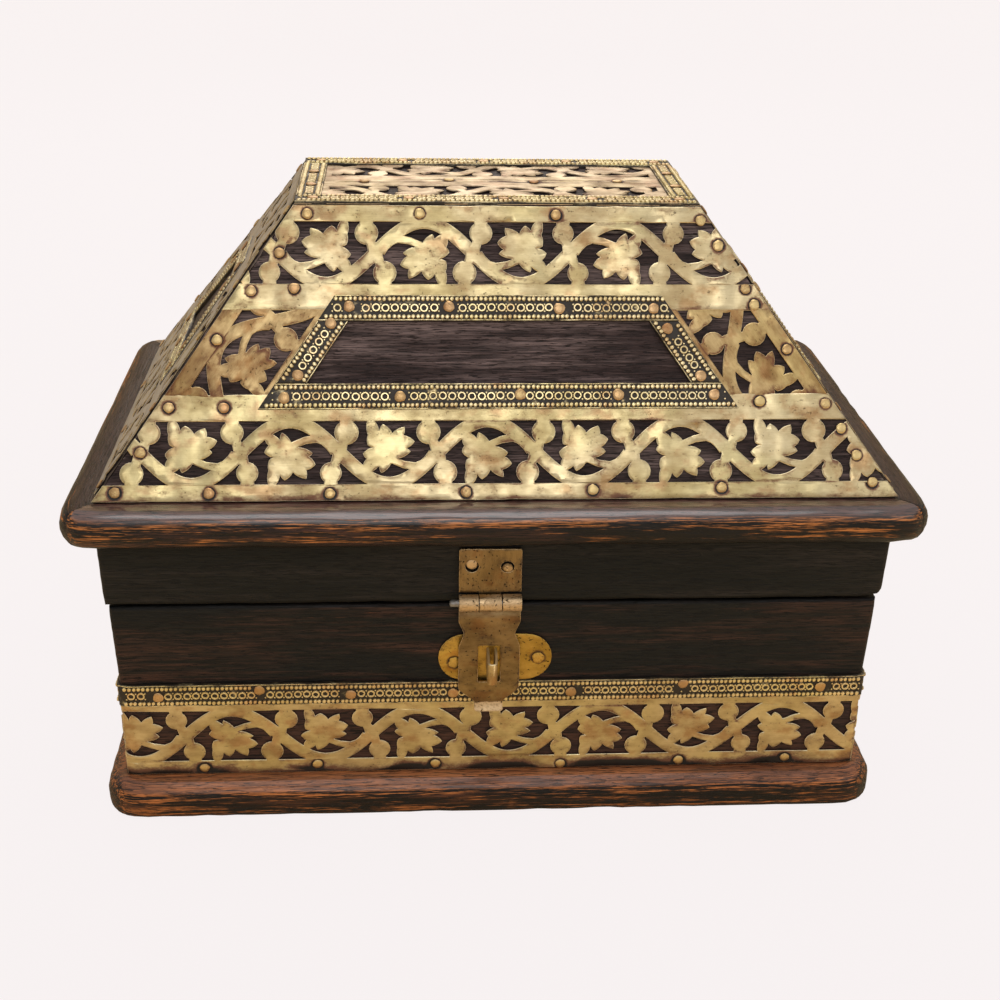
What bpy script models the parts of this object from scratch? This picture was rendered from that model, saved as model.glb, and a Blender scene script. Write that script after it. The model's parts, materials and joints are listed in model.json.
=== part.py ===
"""Jewellery box of dark wood with a hipped, flat-topped lid, clad in pierced and beaded brass strip.

Metres, +Z up. The box stands on the plane z = 0, centred on the origin, with its front towards -Y.
Each side's pieces are drawn as the front's and then turned about Z to the side that they belong to.
"""

import math

import bmesh
import bpy
from mathutils import Matrix, Vector

# Fits
FIT = 0.0003  # between two pieces that touch
LID_GAP = 0.0006  # shadow line between the box and its lid
TINY = 0.000001  # for finding edges, and for welding

# Box
BOX_WIDTH = 0.255
BOX_DEPTH = 0.148
WALL_HEIGHT = 0.0662
WALL_THICKNESS = 0.010
ARRIS_ROUND = 0.0016  # worn outer edges of the boards
BASE_THICKNESS = 0.0135
BASE_OVERHANG = 0.008
BASE_CORNER_ROUND = 0.007
BASE_TOP_ROUND = 0.006
BASE_FOOT_ROUND = 0.002

# Lid
RIM_PROUD = 0.001  # the lid's rim stands this far outside the box
RIM_HEIGHT = 0.0249
MOULDING_OVERHANG = 0.012
MOULDING_THICKNESS = 0.0128
MOULDING_CORNER_ROUND = 0.006
MOULDING_NOSE_ROUND = 0.0052
ROOF_INSET = 0.011  # from the moulding's edge to the foot of the slopes
ROOF_RISE = 0.0843
ROOF_TOP_WIDTH = 0.1316
ROOF_TOP_DEPTH = 0.0636
PANEL_THICKNESS = 0.008
TOP_THICKNESS = 0.008

# Brass cladding, cut from two stock strips
STRIP_WIDTH = 0.034
STRIP_THICKNESS = 0.0005
BEAD_WIDTH = 0.0083
BEAD_THICKNESS = 0.001
BASE_BEAD_LAP = 0.0059  # of the beaded strip over the pierced strip, round the box
FRAME_LAP = 0.0048  # of a beaded frame over the bands above and below it
SIDE_LAP = 0.007  # of a beaded frame over the strips beside it

# Hasp
HASP_OFFSET = -0.003  # from the middle of the front
HASP_RISE = 0.002  # of its pin above the joint of box and lid
HASP_WIDTH = 0.0206
HASP_LEAF_LENGTH = 0.019
HASP_LEAF_THICKNESS = 0.0012
HASP_BARREL_RADIUS = 0.0029
HASP_PIN_RADIUS = 0.00125
HASP_PIN_STICKOUT = 0.0032
HASP_KNUCKLE = 0.0077  # length of the middle knuckle
FLAP_THICKNESS = 0.0012
FLAP_STAND_OFF = 0.0005  # from the beaded strip to the back of the flap
FLAP_NECK_WIDTH = 0.0171
FLAP_NECK_RISE = 0.0045  # from the neck to the top of the slot
FLAP_SHOULDER_RISE = 0.0005
FLAP_TAPER_DROP = 0.0028  # from the foot of the slot to where the flap narrows
FLAP_TAB_DROP = 0.0072
FLAP_END_DROP = 0.0107
FLAP_TAB_WIDTH = 0.0097
FLAP_LIP_REACH = 0.0016
SLOT_SIDE_CLEARANCE = 0.0022
SLOT_OVER_CLEARANCE = 0.0021
SLOT_UNDER_CLEARANCE = 0.0041
STAPLE_WIDTH = 0.0034
STAPLE_HEIGHT = 0.0081
STAPLE_STRIP = 0.00095
STAPLE_REACH = 0.0129
STAPLE_EMBED = 0.005
PLATE_OFFSET = 0.0022  # from the staple to the middle of its plate
PLATE_WIDTH = 0.0385
PLATE_HEIGHT = 0.018
PLATE_THICKNESS = 0.0008

# Back hinges
HINGE_INSET = 0.0525  # from the end of the box to the middle of a hinge
HINGE_WIDTH = 0.032
HINGE_LEAF_LENGTH = 0.0185
HINGE_LEAF_THICKNESS = 0.0013
HINGE_BARREL_RADIUS = 0.0024
HINGE_PIN_RADIUS = 0.001
HINGE_KNUCKLE = 0.0124

# Facets of round pieces
ROUND_STEPS = 4
BARREL_STEPS = 20
PIN_STEPS = 24
EASE_STEPS = 5

# The four sides, and how far each is turned from the front
SIDES = (("front", 0), ("right", 90), ("back", 180), ("left", 270))

# Levels, from the foot up
WALL_FOOT = BASE_THICKNESS + FIT
WALL_TOP = WALL_FOOT + WALL_HEIGHT
RIM_FOOT = WALL_TOP + LID_GAP
RIM_TOP = RIM_FOOT + RIM_HEIGHT
MOULDING_FOOT = RIM_TOP + FIT
MOULDING_TOP = MOULDING_FOOT + MOULDING_THICKNESS
ROOF_FOOT = MOULDING_TOP + FIT
ROOF_TOP = ROOF_FOOT + ROOF_RISE
HINGE_LEVEL = WALL_TOP + LID_GAP / 2
HASP_LEVEL = HINGE_LEVEL + HASP_RISE
BEAD_STRIP_FOOT = WALL_FOOT + STRIP_WIDTH - BASE_BEAD_LAP
BEAD_STRIP_TOP = BEAD_STRIP_FOOT + BEAD_WIDTH
STAPLE_LEVEL = BEAD_STRIP_TOP + FIT + PLATE_HEIGHT / 2

# Plan sizes that follow from those above
RIM_WIDTH = BOX_WIDTH + 2 * RIM_PROUD
RIM_DEPTH = BOX_DEPTH + 2 * RIM_PROUD
MOULDING_WIDTH = RIM_WIDTH + 2 * MOULDING_OVERHANG
MOULDING_DEPTH = RIM_DEPTH + 2 * MOULDING_OVERHANG
ROOF_WIDTH = MOULDING_WIDTH - 2 * ROOF_INSET
ROOF_DEPTH = MOULDING_DEPTH - 2 * ROOF_INSET

# Heights of the two brass layers above the wood
STRIP_BACK = FIT
STRIP_FACE = STRIP_BACK + STRIP_THICKNESS
BEAD_BACK = STRIP_FACE + FIT
BEAD_FACE = BEAD_BACK + BEAD_THICKNESS

# Joint axes, behind and in front of the lid's rim
HINGE_AXIS_Y = RIM_DEPTH / 2 + FIT + HINGE_BARREL_RADIUS
HASP_AXIS_Y = -(RIM_DEPTH / 2 + FIT + HASP_BARREL_RADIUS)

# Finishes: colour, roughness, metallic
DARK_WOOD = ("dark_wood", (0.018, 0.012, 0.010, 1.0), 0.45, 0.0)
BROWN_WOOD = ("brown_wood", (0.060, 0.028, 0.017, 1.0), 0.45, 0.0)
PIERCED_BRASS = ("pierced_brass", (0.47, 0.34, 0.13, 1.0), 0.38, 1.0)
BEADED_BRASS = ("beaded_brass", (0.40, 0.29, 0.12, 1.0), 0.42, 1.0)
HASP_BRASS = ("hasp_brass", (0.32, 0.23, 0.11, 1.0), 0.45, 1.0)
PLATE_BRASS = ("plate_brass", (0.44, 0.30, 0.07, 1.0), 0.40, 1.0)
PIN_STEEL = ("pin_steel", (0.38, 0.38, 0.38, 1.0), 0.45, 1.0)


def clear_scene():
    """Removes whatever the file holds."""
    for thing in list(bpy.data.objects):
        bpy.data.objects.remove(thing, do_unlink=True)


def collection(name):
    """A new collection in the scene."""
    made = bpy.data.collections.new(name)
    bpy.context.scene.collection.children.link(made)
    return made


def material(finish):
    """The Principled material of a finish, made once."""
    name, colour, roughness, metallic = finish
    made = bpy.data.materials.get(name)
    if made is None:
        made = bpy.data.materials.new(name)
        made.use_nodes = True
        made.diffuse_color = colour
        shader = made.node_tree.nodes["Principled BSDF"]
        shader.inputs["Base Color"].default_value = colour
        shader.inputs["Roughness"].default_value = roughness
        shader.inputs["Metallic"].default_value = metallic
    return made


def place(name, data, finish, matrix, parent):
    """A named sub-part in the world at matrix, carried by parent."""
    made = bpy.data.objects.new(name, data)
    parts.objects.link(made)
    data.materials.append(material(finish))
    if parent is not None:
        made.parent = parent
        made.matrix_parent_inverse = parent.matrix_world.inverted()
    made.matrix_world = matrix
    return made


def place_cutter(name, data, matrix):
    """A hidden cutting shape."""
    made = bpy.data.objects.new(name, data)
    cutters.objects.link(made)
    made.matrix_world = matrix
    made.hide_render = True
    made.display_type = "WIRE"
    return made


def joint_empty(name, location, parent):
    """An empty on a joint's axis."""
    made = bpy.data.objects.new(name, None)
    parts.objects.link(made)
    made.location = location
    bpy.context.view_layer.update()
    if parent is not None:
        made.parent = parent
        made.matrix_parent_inverse = parent.matrix_world.inverted()
    bpy.context.view_layer.update()
    return made


def boolean(target, operation, cutter):
    """Joins to, cuts from or keeps the common part of target."""
    modifier = target.modifiers.new(operation.lower(), "BOOLEAN")
    modifier.operation = operation
    modifier.object = cutter
    modifier.solver = "EXACT"


def finish_mesh(name, bm):
    """The mesh of bm, with flat faces and smooth rounds."""
    bmesh.ops.recalc_face_normals(bm, faces=bm.faces[:])
    mesh = bpy.data.meshes.new(name)
    bm.to_mesh(mesh)
    bm.free()
    mesh.shade_smooth()
    mesh.set_sharp_from_angle(angle=math.radians(35))
    return mesh


def block(low, high):
    """A box between two corners."""
    bm = bmesh.new()
    bmesh.ops.create_cube(bm, size=1.0)
    size = Vector(high) - Vector(low)
    bmesh.ops.scale(bm, vec=size, verts=bm.verts[:])
    bmesh.ops.translate(bm, vec=(Vector(low) + Vector(high)) / 2, verts=bm.verts[:])
    return bm


def round_edges(bm, wanted, radius):
    """Rounds the edges whose two ends wanted accepts."""
    edges = [edge for edge in bm.edges if wanted(edge.verts[0].co, edge.verts[1].co)]
    bmesh.ops.bevel(
        bm, geom=edges, offset=radius, offset_type="OFFSET", segments=ROUND_STEPS, profile=0.5, affect="EDGES"
    )


def cut_away(bm, point, normal):
    """Removes what lies beyond a plane and closes the cut."""
    everything = bm.verts[:] + bm.edges[:] + bm.faces[:]
    cut = bmesh.ops.bisect_plane(
        bm, geom=everything, dist=TINY / 10, plane_co=point, plane_no=normal, clear_outer=True
    )
    rim = [piece for piece in cut["geom_cut"] if isinstance(piece, bmesh.types.BMEdge)]
    bmesh.ops.edgeloop_fill(bm, edges=rim)


def turned(turn):
    """The matrix that carries a piece from the front to another side."""
    return Matrix.Rotation(math.radians(turn), 4, "Z")


def is_long(turn):
    """Whether a side is the front or the back."""
    return turn in (0, 180)


def facing(turn, width, depth):
    """A plan size as it is seen from a side: its length along that side, and its depth behind it."""
    return (width, depth) if is_long(turn) else (depth, width)


def axes_matrix(along, up, origin):
    """The matrix of a flat drawing whose x runs along, whose y runs up, and which faces along x up."""
    across = along.cross(up)
    matrix = Matrix((along, up, across)).transposed().to_4x4()
    matrix.translation = origin
    return matrix


def drawing(name, outlines, thickness):
    """A flat sheet from closed outlines, the first its edge and any others its holes."""
    curve = bpy.data.curves.new(name, "CURVE")
    curve.dimensions = "2D"
    curve.fill_mode = "BOTH"
    curve.extrude = thickness / 2
    for outline in outlines:
        spline = curve.splines.new("POLY")
        spline.points.add(len(outline) - 1)
        for point, (x, y) in zip(spline.points, outline):
            point.co = (x, y, 0.0, 1.0)
        spline.use_cyclic_u = True
    return curve


def drawing_mesh(name, outlines, thickness):
    """The same sheet as a welded mesh, for cutting."""
    carrier = bpy.data.objects.new(name, drawing(name, outlines, thickness))
    cutters.objects.link(carrier)
    graph = bpy.context.evaluated_depsgraph_get()
    mesh = bpy.data.meshes.new_from_object(carrier.evaluated_get(graph))
    bpy.data.objects.remove(carrier, do_unlink=True)
    bm = bmesh.new()
    bm.from_mesh(mesh)
    bpy.data.meshes.remove(mesh)
    bmesh.ops.remove_doubles(bm, verts=bm.verts[:], dist=TINY)
    return finish_mesh(name, bm)


def rectangle(left, right, foot, top):
    """A rectangle's corners."""
    return [(left, foot), (right, foot), (right, top), (left, top)]


def arc(centre, radius, start, end, steps):
    """Points on an arc between two angles in degrees, both ends included."""
    angles = [math.radians(start + (end - start) * i / steps) for i in range(steps + 1)]
    return [(centre[0] + radius * math.cos(a), centre[1] + radius * math.sin(a)) for a in angles]


def standing_board(turn, width, depth, foot, top, worn_level):
    """A wall of an open frame of boards: long boards run the full width, and short ones fit between."""
    length, out = facing(turn, width, depth)
    if not is_long(turn):
        length -= 2 * (WALL_THICKNESS + FIT)
    face = -out / 2
    bm = block((-length / 2, face, foot), (length / 2, face + WALL_THICKNESS, top))

    def worn(a, b):
        outer = abs(a.y - face) < TINY and abs(b.y - face) < TINY
        level = abs(a.z - worn_level) < TINY and abs(b.z - worn_level) < TINY
        upright = abs(a.x - b.x) < TINY
        return outer and (level or (upright and is_long(turn)))

    round_edges(bm, worn, ARRIS_ROUND)
    return bm


def round_cornered_board(width, depth, foot, top, corner, top_round, foot_round):
    """A board with rounded corners and rounded upper and lower edges."""
    bm = block((-width / 2, -depth / 2, foot), (width / 2, depth / 2, top))
    round_edges(bm, lambda a, b: abs(a.z - b.z) > TINY, corner)
    for level, radius in ((top, top_round), (foot, foot_round)):
        round_edges(bm, lambda a, b: max(abs(a.z - level), abs(b.z - level)) < TINY, radius)
    return bm


def make_base():
    """The base board."""
    round_top = min(BASE_TOP_ROUND, 0.9 * BASE_CORNER_ROUND)
    bm = round_cornered_board(
        BOX_WIDTH + 2 * BASE_OVERHANG,
        BOX_DEPTH + 2 * BASE_OVERHANG,
        0.0,
        BASE_THICKNESS,
        BASE_CORNER_ROUND,
        round_top,
        BASE_FOOT_ROUND,
    )
    place("base_board", finish_mesh("base_board", bm), BROWN_WOOD, Matrix.Identity(4), None)


def make_walls():
    """The four walls of the box, the front one with a pocket for the staple's legs."""
    for side, turn in SIDES:
        name = "box_" + side
        bm = standing_board(turn, BOX_WIDTH, BOX_DEPTH, WALL_FOOT, WALL_TOP, WALL_TOP)
        wall = place(name, finish_mesh(name, bm), DARK_WOOD, turned(turn), None)
        if side == "front":
            boolean(wall, "DIFFERENCE", staple_pocket())


def staple_pocket():
    """The cutter for the staple's legs in the front wall."""
    half_width = STAPLE_WIDTH / 2 + FIT
    half_height = STAPLE_HEIGHT / 2 + FIT
    face = -BOX_DEPTH / 2
    bm = block(
        (HASP_OFFSET - half_width, face - WALL_THICKNESS, STAPLE_LEVEL - half_height),
        (HASP_OFFSET + half_width, face + STAPLE_EMBED + FIT, STAPLE_LEVEL + half_height),
    )
    return place_cutter("staple_pocket", finish_mesh("staple_pocket", bm), Matrix.Identity(4))


def make_rim():
    """The four boards of the lid's rim."""
    for side, turn in SIDES:
        name = "lid_rim_" + side
        bm = standing_board(turn, RIM_WIDTH, RIM_DEPTH, RIM_FOOT, RIM_TOP, RIM_FOOT)
        place(name, finish_mesh(name, bm), DARK_WOOD, turned(turn), lid_empty)


def make_moulding():
    """The four mitred lengths of the lid's moulding, cut from one round-nosed board."""
    nose = min(MOULDING_NOSE_ROUND, 0.9 * MOULDING_CORNER_ROUND, 0.45 * MOULDING_THICKNESS)
    for side, turn in SIDES:
        name = "lid_moulding_" + side
        length, out = facing(turn, MOULDING_WIDTH, MOULDING_DEPTH)
        bm = round_cornered_board(
            length, out, MOULDING_FOOT, MOULDING_TOP, MOULDING_CORNER_ROUND, nose, nose
        )
        inner = -out / 2 + MOULDING_OVERHANG + WALL_THICKNESS
        cut_away(bm, (0.0, inner, 0.0), (0.0, 1.0, 0.0))
        for way in (-1, 1):
            mitre = Vector((way, 1.0, 0.0)).normalized()
            corner = Vector((way * length / 2, -out / 2, 0.0))
            cut_away(bm, corner - mitre * FIT / 2, mitre)
        place(name, finish_mesh(name, bm), BROWN_WOOD, turned(turn), lid_empty)


class Slope:
    """One slope of the roof, drawn as the front's: u runs along its foot and v up it."""

    def __init__(self, turn):
        self.turn = turn
        self.width, self.depth = facing(turn, ROOF_WIDTH, ROOF_DEPTH)
        self.top_width, self.top_depth = facing(turn, ROOF_TOP_WIDTH, ROOF_TOP_DEPTH)
        self.run = (self.depth - self.top_depth) / 2
        self.side_run = (self.width - self.top_width) / 2
        self.length = math.hypot(self.run, ROOF_RISE)
        self.slant = self.side_run / self.length
        self.stretch = math.hypot(1.0, self.slant)
        self.foot = Vector((0.0, -self.depth / 2, ROOF_FOOT))
        self.normal = Vector((0.0, -ROOF_RISE, self.run)).normalized()

    def half(self, v, inset=0.0):
        """Half the slope's width at v, less an inset measured square to the hip."""
        return self.width / 2 - v * self.slant - inset * self.stretch

    def side_normal(self, way):
        """The outward normal of the slope to the left or right."""
        return Vector((way * ROOF_RISE, 0.0, self.side_run)).normalized()

    def matrix(self, height):
        """Where a drawing lies whose middle is at a height above the wood."""
        along = Vector((1.0, 0.0, 0.0))
        up = Vector((0.0, self.run, ROOF_RISE)).normalized()
        return turned(self.turn) @ axes_matrix(along, up, self.foot + self.normal * height)

    def trapezoid(self, v0, v1, inset):
        """The stretch of the slope between two heights, inset from both hips."""
        foot, top = self.half(v0, inset), self.half(v1, inset)
        return [(-foot, v0), (foot, v0), (top, v1), (-top, v1)]

    def hip_strip(self, v0, v1, way):
        """A strip of the stock width along one hip."""
        outer = [(way * self.half(v), v) for v in (v0, v1)]
        inner = [(way * self.half(v, STRIP_WIDTH), v) for v in (v1, v0)]
        return outer + inner


def roof_block(slope):
    """The roof as one solid, seen from a slope's side."""
    bm = block((-slope.width / 2, -slope.depth / 2, ROOF_FOOT), (slope.width / 2, slope.depth / 2, ROOF_TOP))
    for vert in bm.verts:
        if vert.co.z > ROOF_TOP - TINY:
            vert.co.x *= slope.top_width / slope.width
            vert.co.y *= slope.top_depth / slope.depth
    return bm


def make_roof():
    """The four mitred panels of the roof, and the flat board on top of them."""
    panel_top = ROOF_TOP - TOP_THICKNESS - FIT
    for side, turn in SIDES:
        name = "roof_panel_" + side
        slope = Slope(turn)
        bm = roof_block(slope)
        cut_away(bm, (0.0, 0.0, panel_top), (0.0, 0.0, 1.0))
        cut_away(bm, slope.foot - slope.normal * PANEL_THICKNESS, -slope.normal)
        for way in (-1, 1):
            mitre = (slope.side_normal(way) - slope.normal).normalized()
            hip = Vector((way * slope.width / 2, -slope.depth / 2, ROOF_FOOT))
            cut_away(bm, hip - mitre * FIT / 2, mitre)
        place(name, finish_mesh(name, bm), DARK_WOOD, turned(turn), lid_empty)
    bm = roof_block(Slope(0))
    cut_away(bm, (0.0, 0.0, ROOF_TOP - TOP_THICKNESS), (0.0, 0.0, -1.0))
    place("roof_top_board", finish_mesh("roof_top_board", bm), DARK_WOOD, Matrix.Identity(4), lid_empty)


def clad_slope(side, turn):
    """The pierced bands, hip strips and beaded frame on one slope."""
    slope = Slope(turn)
    strip_at = slope.matrix((STRIP_BACK + STRIP_FACE) / 2)
    upper_foot = slope.length - STRIP_WIDTH
    pieces = {
        "lower_band_" + side: slope.trapezoid(0.0, STRIP_WIDTH, 0.0),
        "upper_band_" + side: slope.trapezoid(upper_foot, slope.length, 0.0),
        "hip_strip_" + side + "_left": slope.hip_strip(STRIP_WIDTH + FIT, upper_foot - FIT, -1),
        "hip_strip_" + side + "_right": slope.hip_strip(STRIP_WIDTH + FIT, upper_foot - FIT, 1),
    }
    for name, outline in pieces.items():
        place(name, drawing(name, [outline], STRIP_THICKNESS), PIERCED_BRASS, strip_at, lid_empty)
    low, high = STRIP_WIDTH - FRAME_LAP, upper_foot + FRAME_LAP
    inset = STRIP_WIDTH - SIDE_LAP
    outer = slope.trapezoid(low, high, inset)
    inner = slope.trapezoid(low + BEAD_WIDTH, high - BEAD_WIDTH, inset + BEAD_WIDTH)
    name = "bead_frame_" + side
    frame_at = slope.matrix((BEAD_BACK + BEAD_FACE) / 2)
    place(name, drawing(name, [outer, inner], BEAD_THICKNESS), BEADED_BRASS, frame_at, lid_empty)


def clad_top():
    """The pierced panel on the flat top, and the beaded frame round it."""
    half_width, half_depth = ROOF_TOP_WIDTH / 2, ROOF_TOP_DEPTH / 2
    outer = rectangle(-half_width, half_width, -half_depth, half_depth)
    inner_width, inner_depth = half_width - BEAD_WIDTH, half_depth - BEAD_WIDTH
    inner = rectangle(-inner_width, inner_width, -inner_depth, inner_depth)
    panel_at = Matrix.Translation((0.0, 0.0, ROOF_TOP + (STRIP_BACK + STRIP_FACE) / 2))
    frame_at = Matrix.Translation((0.0, 0.0, ROOF_TOP + (BEAD_BACK + BEAD_FACE) / 2))
    panel = drawing("top_panel", [outer], STRIP_THICKNESS)
    frame = drawing("top_bead_frame", [outer, inner], BEAD_THICKNESS)
    place("top_panel", panel, PIERCED_BRASS, panel_at, lid_empty)
    place("top_bead_frame", frame, BEADED_BRASS, frame_at, lid_empty)


def clad_box(side, turn):
    """The pierced band and the beaded strip round the foot of one wall."""
    length, out = facing(turn, BOX_WIDTH, BOX_DEPTH)
    along, up = Vector((1.0, 0.0, 0.0)), Vector((0.0, 0.0, 1.0))
    band = rectangle(-length / 2, length / 2, WALL_FOOT, WALL_FOOT + STRIP_WIDTH)
    bead = rectangle(-length / 2, length / 2, BEAD_STRIP_FOOT, BEAD_STRIP_TOP)
    layers = (
        ("base_band_" + side, band, STRIP_BACK, STRIP_THICKNESS, PIERCED_BRASS),
        ("bead_strip_" + side, bead, BEAD_BACK, BEAD_THICKNESS, BEADED_BRASS),
    )
    for name, outline, back, thickness, finish in layers:
        face = Vector((0.0, -out / 2 - back - thickness / 2, 0.0))
        at = turned(turn) @ axes_matrix(along, up, face)
        place(name, drawing(name, [outline], thickness), finish, at, None)


def leaf_profile(radius, back, front, length):
    """A hinge leaf seen along its pin: (outwards, along the leaf) from the pin, with the barrel at its end."""
    front_angle = math.degrees(math.acos(front / radius))
    if back > -radius:
        start = math.degrees(math.acos(back / radius))
        root = []
    else:
        start = 180.0
        root = [(back, 0.0)]
    barrel = arc((0.0, 0.0), radius, start, 360.0 + front_angle, BARREL_STEPS)
    return root + barrel + [(front, length), (back, length)]


def bore_outline(pin_radius):
    """The bore that a pin turns in."""
    return arc((0.0, 0.0), pin_radius + FIT, 0.0, 360.0 - 360.0 / PIN_STEPS, PIN_STEPS - 1)


def cut_notches(leaf, spans, axis, radius, away):
    """Opens a leaf's barrel over spans along X, for the other leaf's knuckles."""
    reach = radius + FIT
    for number, (left, right) in enumerate(spans):
        foot, top = sorted((axis.z - 2 * reach * away, axis.z + reach * away))
        bm = block((left, axis.y - 2 * reach, foot), (right, axis.y + 2 * reach, top))
        name = leaf.name + "_notch_" + str(number)
        cutter = place_cutter(name, finish_mesh(name, bm), Matrix.Identity(4))
        boolean(leaf, "DIFFERENCE", cutter)


def middle_span(centre, knuckle):
    """The opening for a middle knuckle."""
    return [(centre - knuckle / 2 - FIT, centre + knuckle / 2 + FIT)]


def outer_spans(centre, knuckle, width):
    """The openings on both sides of a middle knuckle."""
    return [(centre - width, centre - knuckle / 2), (centre + knuckle / 2, centre + width)]


def make_pin(name, left, right, axis, radius, finish, parent):
    """A hinge pin along X."""
    bm = bmesh.new()
    bmesh.ops.create_cone(
        bm, cap_ends=True, segments=PIN_STEPS, radius1=radius, radius2=radius, depth=right - left
    )
    turn = Matrix.Rotation(math.radians(90), 4, "Y")
    at = Matrix.Translation(((left + right) / 2, axis.y, axis.z)) @ turn
    place(name, finish_mesh(name, bm), finish, at, parent)


def leaf_matrix(centre, axis, outwards, away):
    """Where a leaf's profile lies: x outwards from the wood and y along the leaf, up or down."""
    return axes_matrix(
        Vector((0.0, outwards, 0.0)), Vector((0.0, 0.0, away)), Vector((centre, axis.y, axis.z))
    )


def ease(start, end):
    """Points on a soft S between two (half width, distance) stations, without the first."""
    points = []
    for step in range(1, EASE_STEPS + 1):
        t = step / EASE_STEPS
        soft = (1.0 - math.cos(math.pi * t)) / 2
        points.append((start[0] + (end[0] - start[0]) * soft, start[1] + (end[1] - start[1]) * t))
    return points


def flap_outline(slot_top, slot_foot):
    """The flap seen from the front: (across, down from the pin)."""
    full = HASP_WIDTH / 2
    tab = FLAP_TAB_WIDTH / 2
    shoulder = (full, slot_top - FLAP_SHOULDER_RISE)
    neck = (FLAP_NECK_WIDTH / 2, slot_top - FLAP_NECK_RISE)
    crown = (full, neck[1] - FLAP_NECK_RISE)
    taper = (full, slot_foot + FLAP_TAPER_DROP)
    narrow = (tab, slot_foot + FLAP_TAB_DROP)
    right = [(full, -2 * HASP_BARREL_RADIUS), crown]
    right += ease(crown, neck) + ease(neck, shoulder) + [taper] + ease(taper, narrow)
    right.append((tab, slot_foot + FLAP_END_DROP))
    left = [(-x, y) for x, y in reversed(right)]
    return right + left


def flap_profile(back, front, lip_start, end):
    """The flap seen along its pin, with a lip that curls outwards at its foot."""
    outline = leaf_profile(HASP_BARREL_RADIUS, back, front, lip_start)[:-2]
    down = [(FLAP_LIP_REACH * (i / EASE_STEPS) ** 2, i / EASE_STEPS) for i in range(EASE_STEPS + 1)]
    front_face = [(front + out, lip_start + (end - lip_start) * t) for out, t in down]
    back_face = [(back + out, lip_start + (end - lip_start) * t) for out, t in down]
    return outline + front_face + back_face[::-1]


def make_hasp():
    """The leaf on the lid, the slotted flap that hangs from it, and their pin."""
    axis = Vector((0.0, HASP_AXIS_Y, HASP_LEVEL))
    bore = bore_outline(HASP_PIN_RADIUS)
    back = -HASP_BARREL_RADIUS
    profile = leaf_profile(HASP_BARREL_RADIUS, back, back + HASP_LEAF_THICKNESS, HASP_LEAF_LENGTH)
    mesh = drawing_mesh("hasp_leaf", [profile, bore], HASP_WIDTH)
    leaf = place("hasp_leaf", mesh, HASP_BRASS, leaf_matrix(HASP_OFFSET, axis, -1.0, 1.0), lid_empty)
    cut_notches(leaf, outer_spans(HASP_OFFSET, HASP_KNUCKLE, HASP_WIDTH), axis, HASP_BARREL_RADIUS, 1.0)

    slot_top = HASP_LEVEL - STAPLE_LEVEL - STAPLE_HEIGHT / 2 - SLOT_OVER_CLEARANCE
    slot_foot = HASP_LEVEL - STAPLE_LEVEL + STAPLE_HEIGHT / 2 + SLOT_UNDER_CLEARANCE
    slot_half = STAPLE_WIDTH / 2 + SLOT_SIDE_CLEARANCE
    back = HASP_AXIS_Y + BOX_DEPTH / 2 + BEAD_FACE + FLAP_STAND_OFF
    profile = flap_profile(
        back, back + FLAP_THICKNESS, slot_foot + FLAP_TAB_DROP, slot_foot + FLAP_END_DROP
    )
    mesh = drawing_mesh("hasp_flap", [profile, bore], HASP_WIDTH)
    flap = place("hasp_flap", mesh, HASP_BRASS, leaf_matrix(HASP_OFFSET, axis, -1.0, -1.0), flap_empty)
    slot = rectangle(-slot_half, slot_half, slot_top, slot_foot)
    shape = drawing_mesh("flap_shape", [flap_outline(slot_top, slot_foot), slot], BOX_DEPTH)
    facing_front = axes_matrix(
        Vector((1.0, 0.0, 0.0)), Vector((0.0, 0.0, -1.0)), Vector((HASP_OFFSET, HASP_AXIS_Y, HASP_LEVEL))
    )
    boolean(flap, "INTERSECT", place_cutter("flap_shape", shape, facing_front))
    cut_notches(flap, middle_span(HASP_OFFSET, HASP_KNUCKLE), axis, HASP_BARREL_RADIUS, -1.0)

    left = HASP_OFFSET - HASP_WIDTH / 2 - HASP_PIN_STICKOUT
    right = HASP_OFFSET + HASP_WIDTH / 2
    make_pin("hasp_pin", left, right, axis, HASP_PIN_RADIUS, PIN_STEEL, lid_empty)


def make_staple():
    """The round-ended plate on the box, and the bent strip that stands out through the flap's slot."""
    along, up = Vector((1.0, 0.0, 0.0)), Vector((0.0, 0.0, 1.0))
    end = PLATE_HEIGHT / 2
    reach = PLATE_WIDTH / 2 - end
    round_plate = arc((reach, 0.0), end, -90.0, 90.0, BARREL_STEPS)
    round_plate += arc((-reach, 0.0), end, 90.0, 270.0, BARREL_STEPS)
    half_width = STAPLE_WIDTH / 2 + FIT
    half_height = STAPLE_HEIGHT / 2 + FIT
    hole = rectangle(-half_width - PLATE_OFFSET, half_width - PLATE_OFFSET, -half_height, half_height)
    middle = -BOX_DEPTH / 2 - FIT - PLATE_THICKNESS / 2
    at = axes_matrix(along, up, Vector((HASP_OFFSET + PLATE_OFFSET, middle, STAPLE_LEVEL)))
    plate = drawing("staple_plate", [round_plate, hole], PLATE_THICKNESS)
    place("staple_plate", plate, PLATE_BRASS, at, None)

    outer, inner = STAPLE_WIDTH / 2, STAPLE_WIDTH / 2 - STAPLE_STRIP
    bend = (0.0, STAPLE_REACH - outer)
    strip = [(outer, -STAPLE_EMBED)] + arc(bend, outer, 0.0, 180.0, PIN_STEPS // 2) + [(-outer, -STAPLE_EMBED)]
    strip += [(-inner, -STAPLE_EMBED)] + arc(bend, inner, 180.0, 0.0, PIN_STEPS // 2) + [(inner, -STAPLE_EMBED)]
    outwards = Vector((0.0, -1.0, 0.0))
    at = axes_matrix(along, outwards, Vector((HASP_OFFSET, -BOX_DEPTH / 2, STAPLE_LEVEL)))
    place("staple", drawing("staple", [strip], STAPLE_HEIGHT), HASP_BRASS, at, None)


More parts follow.
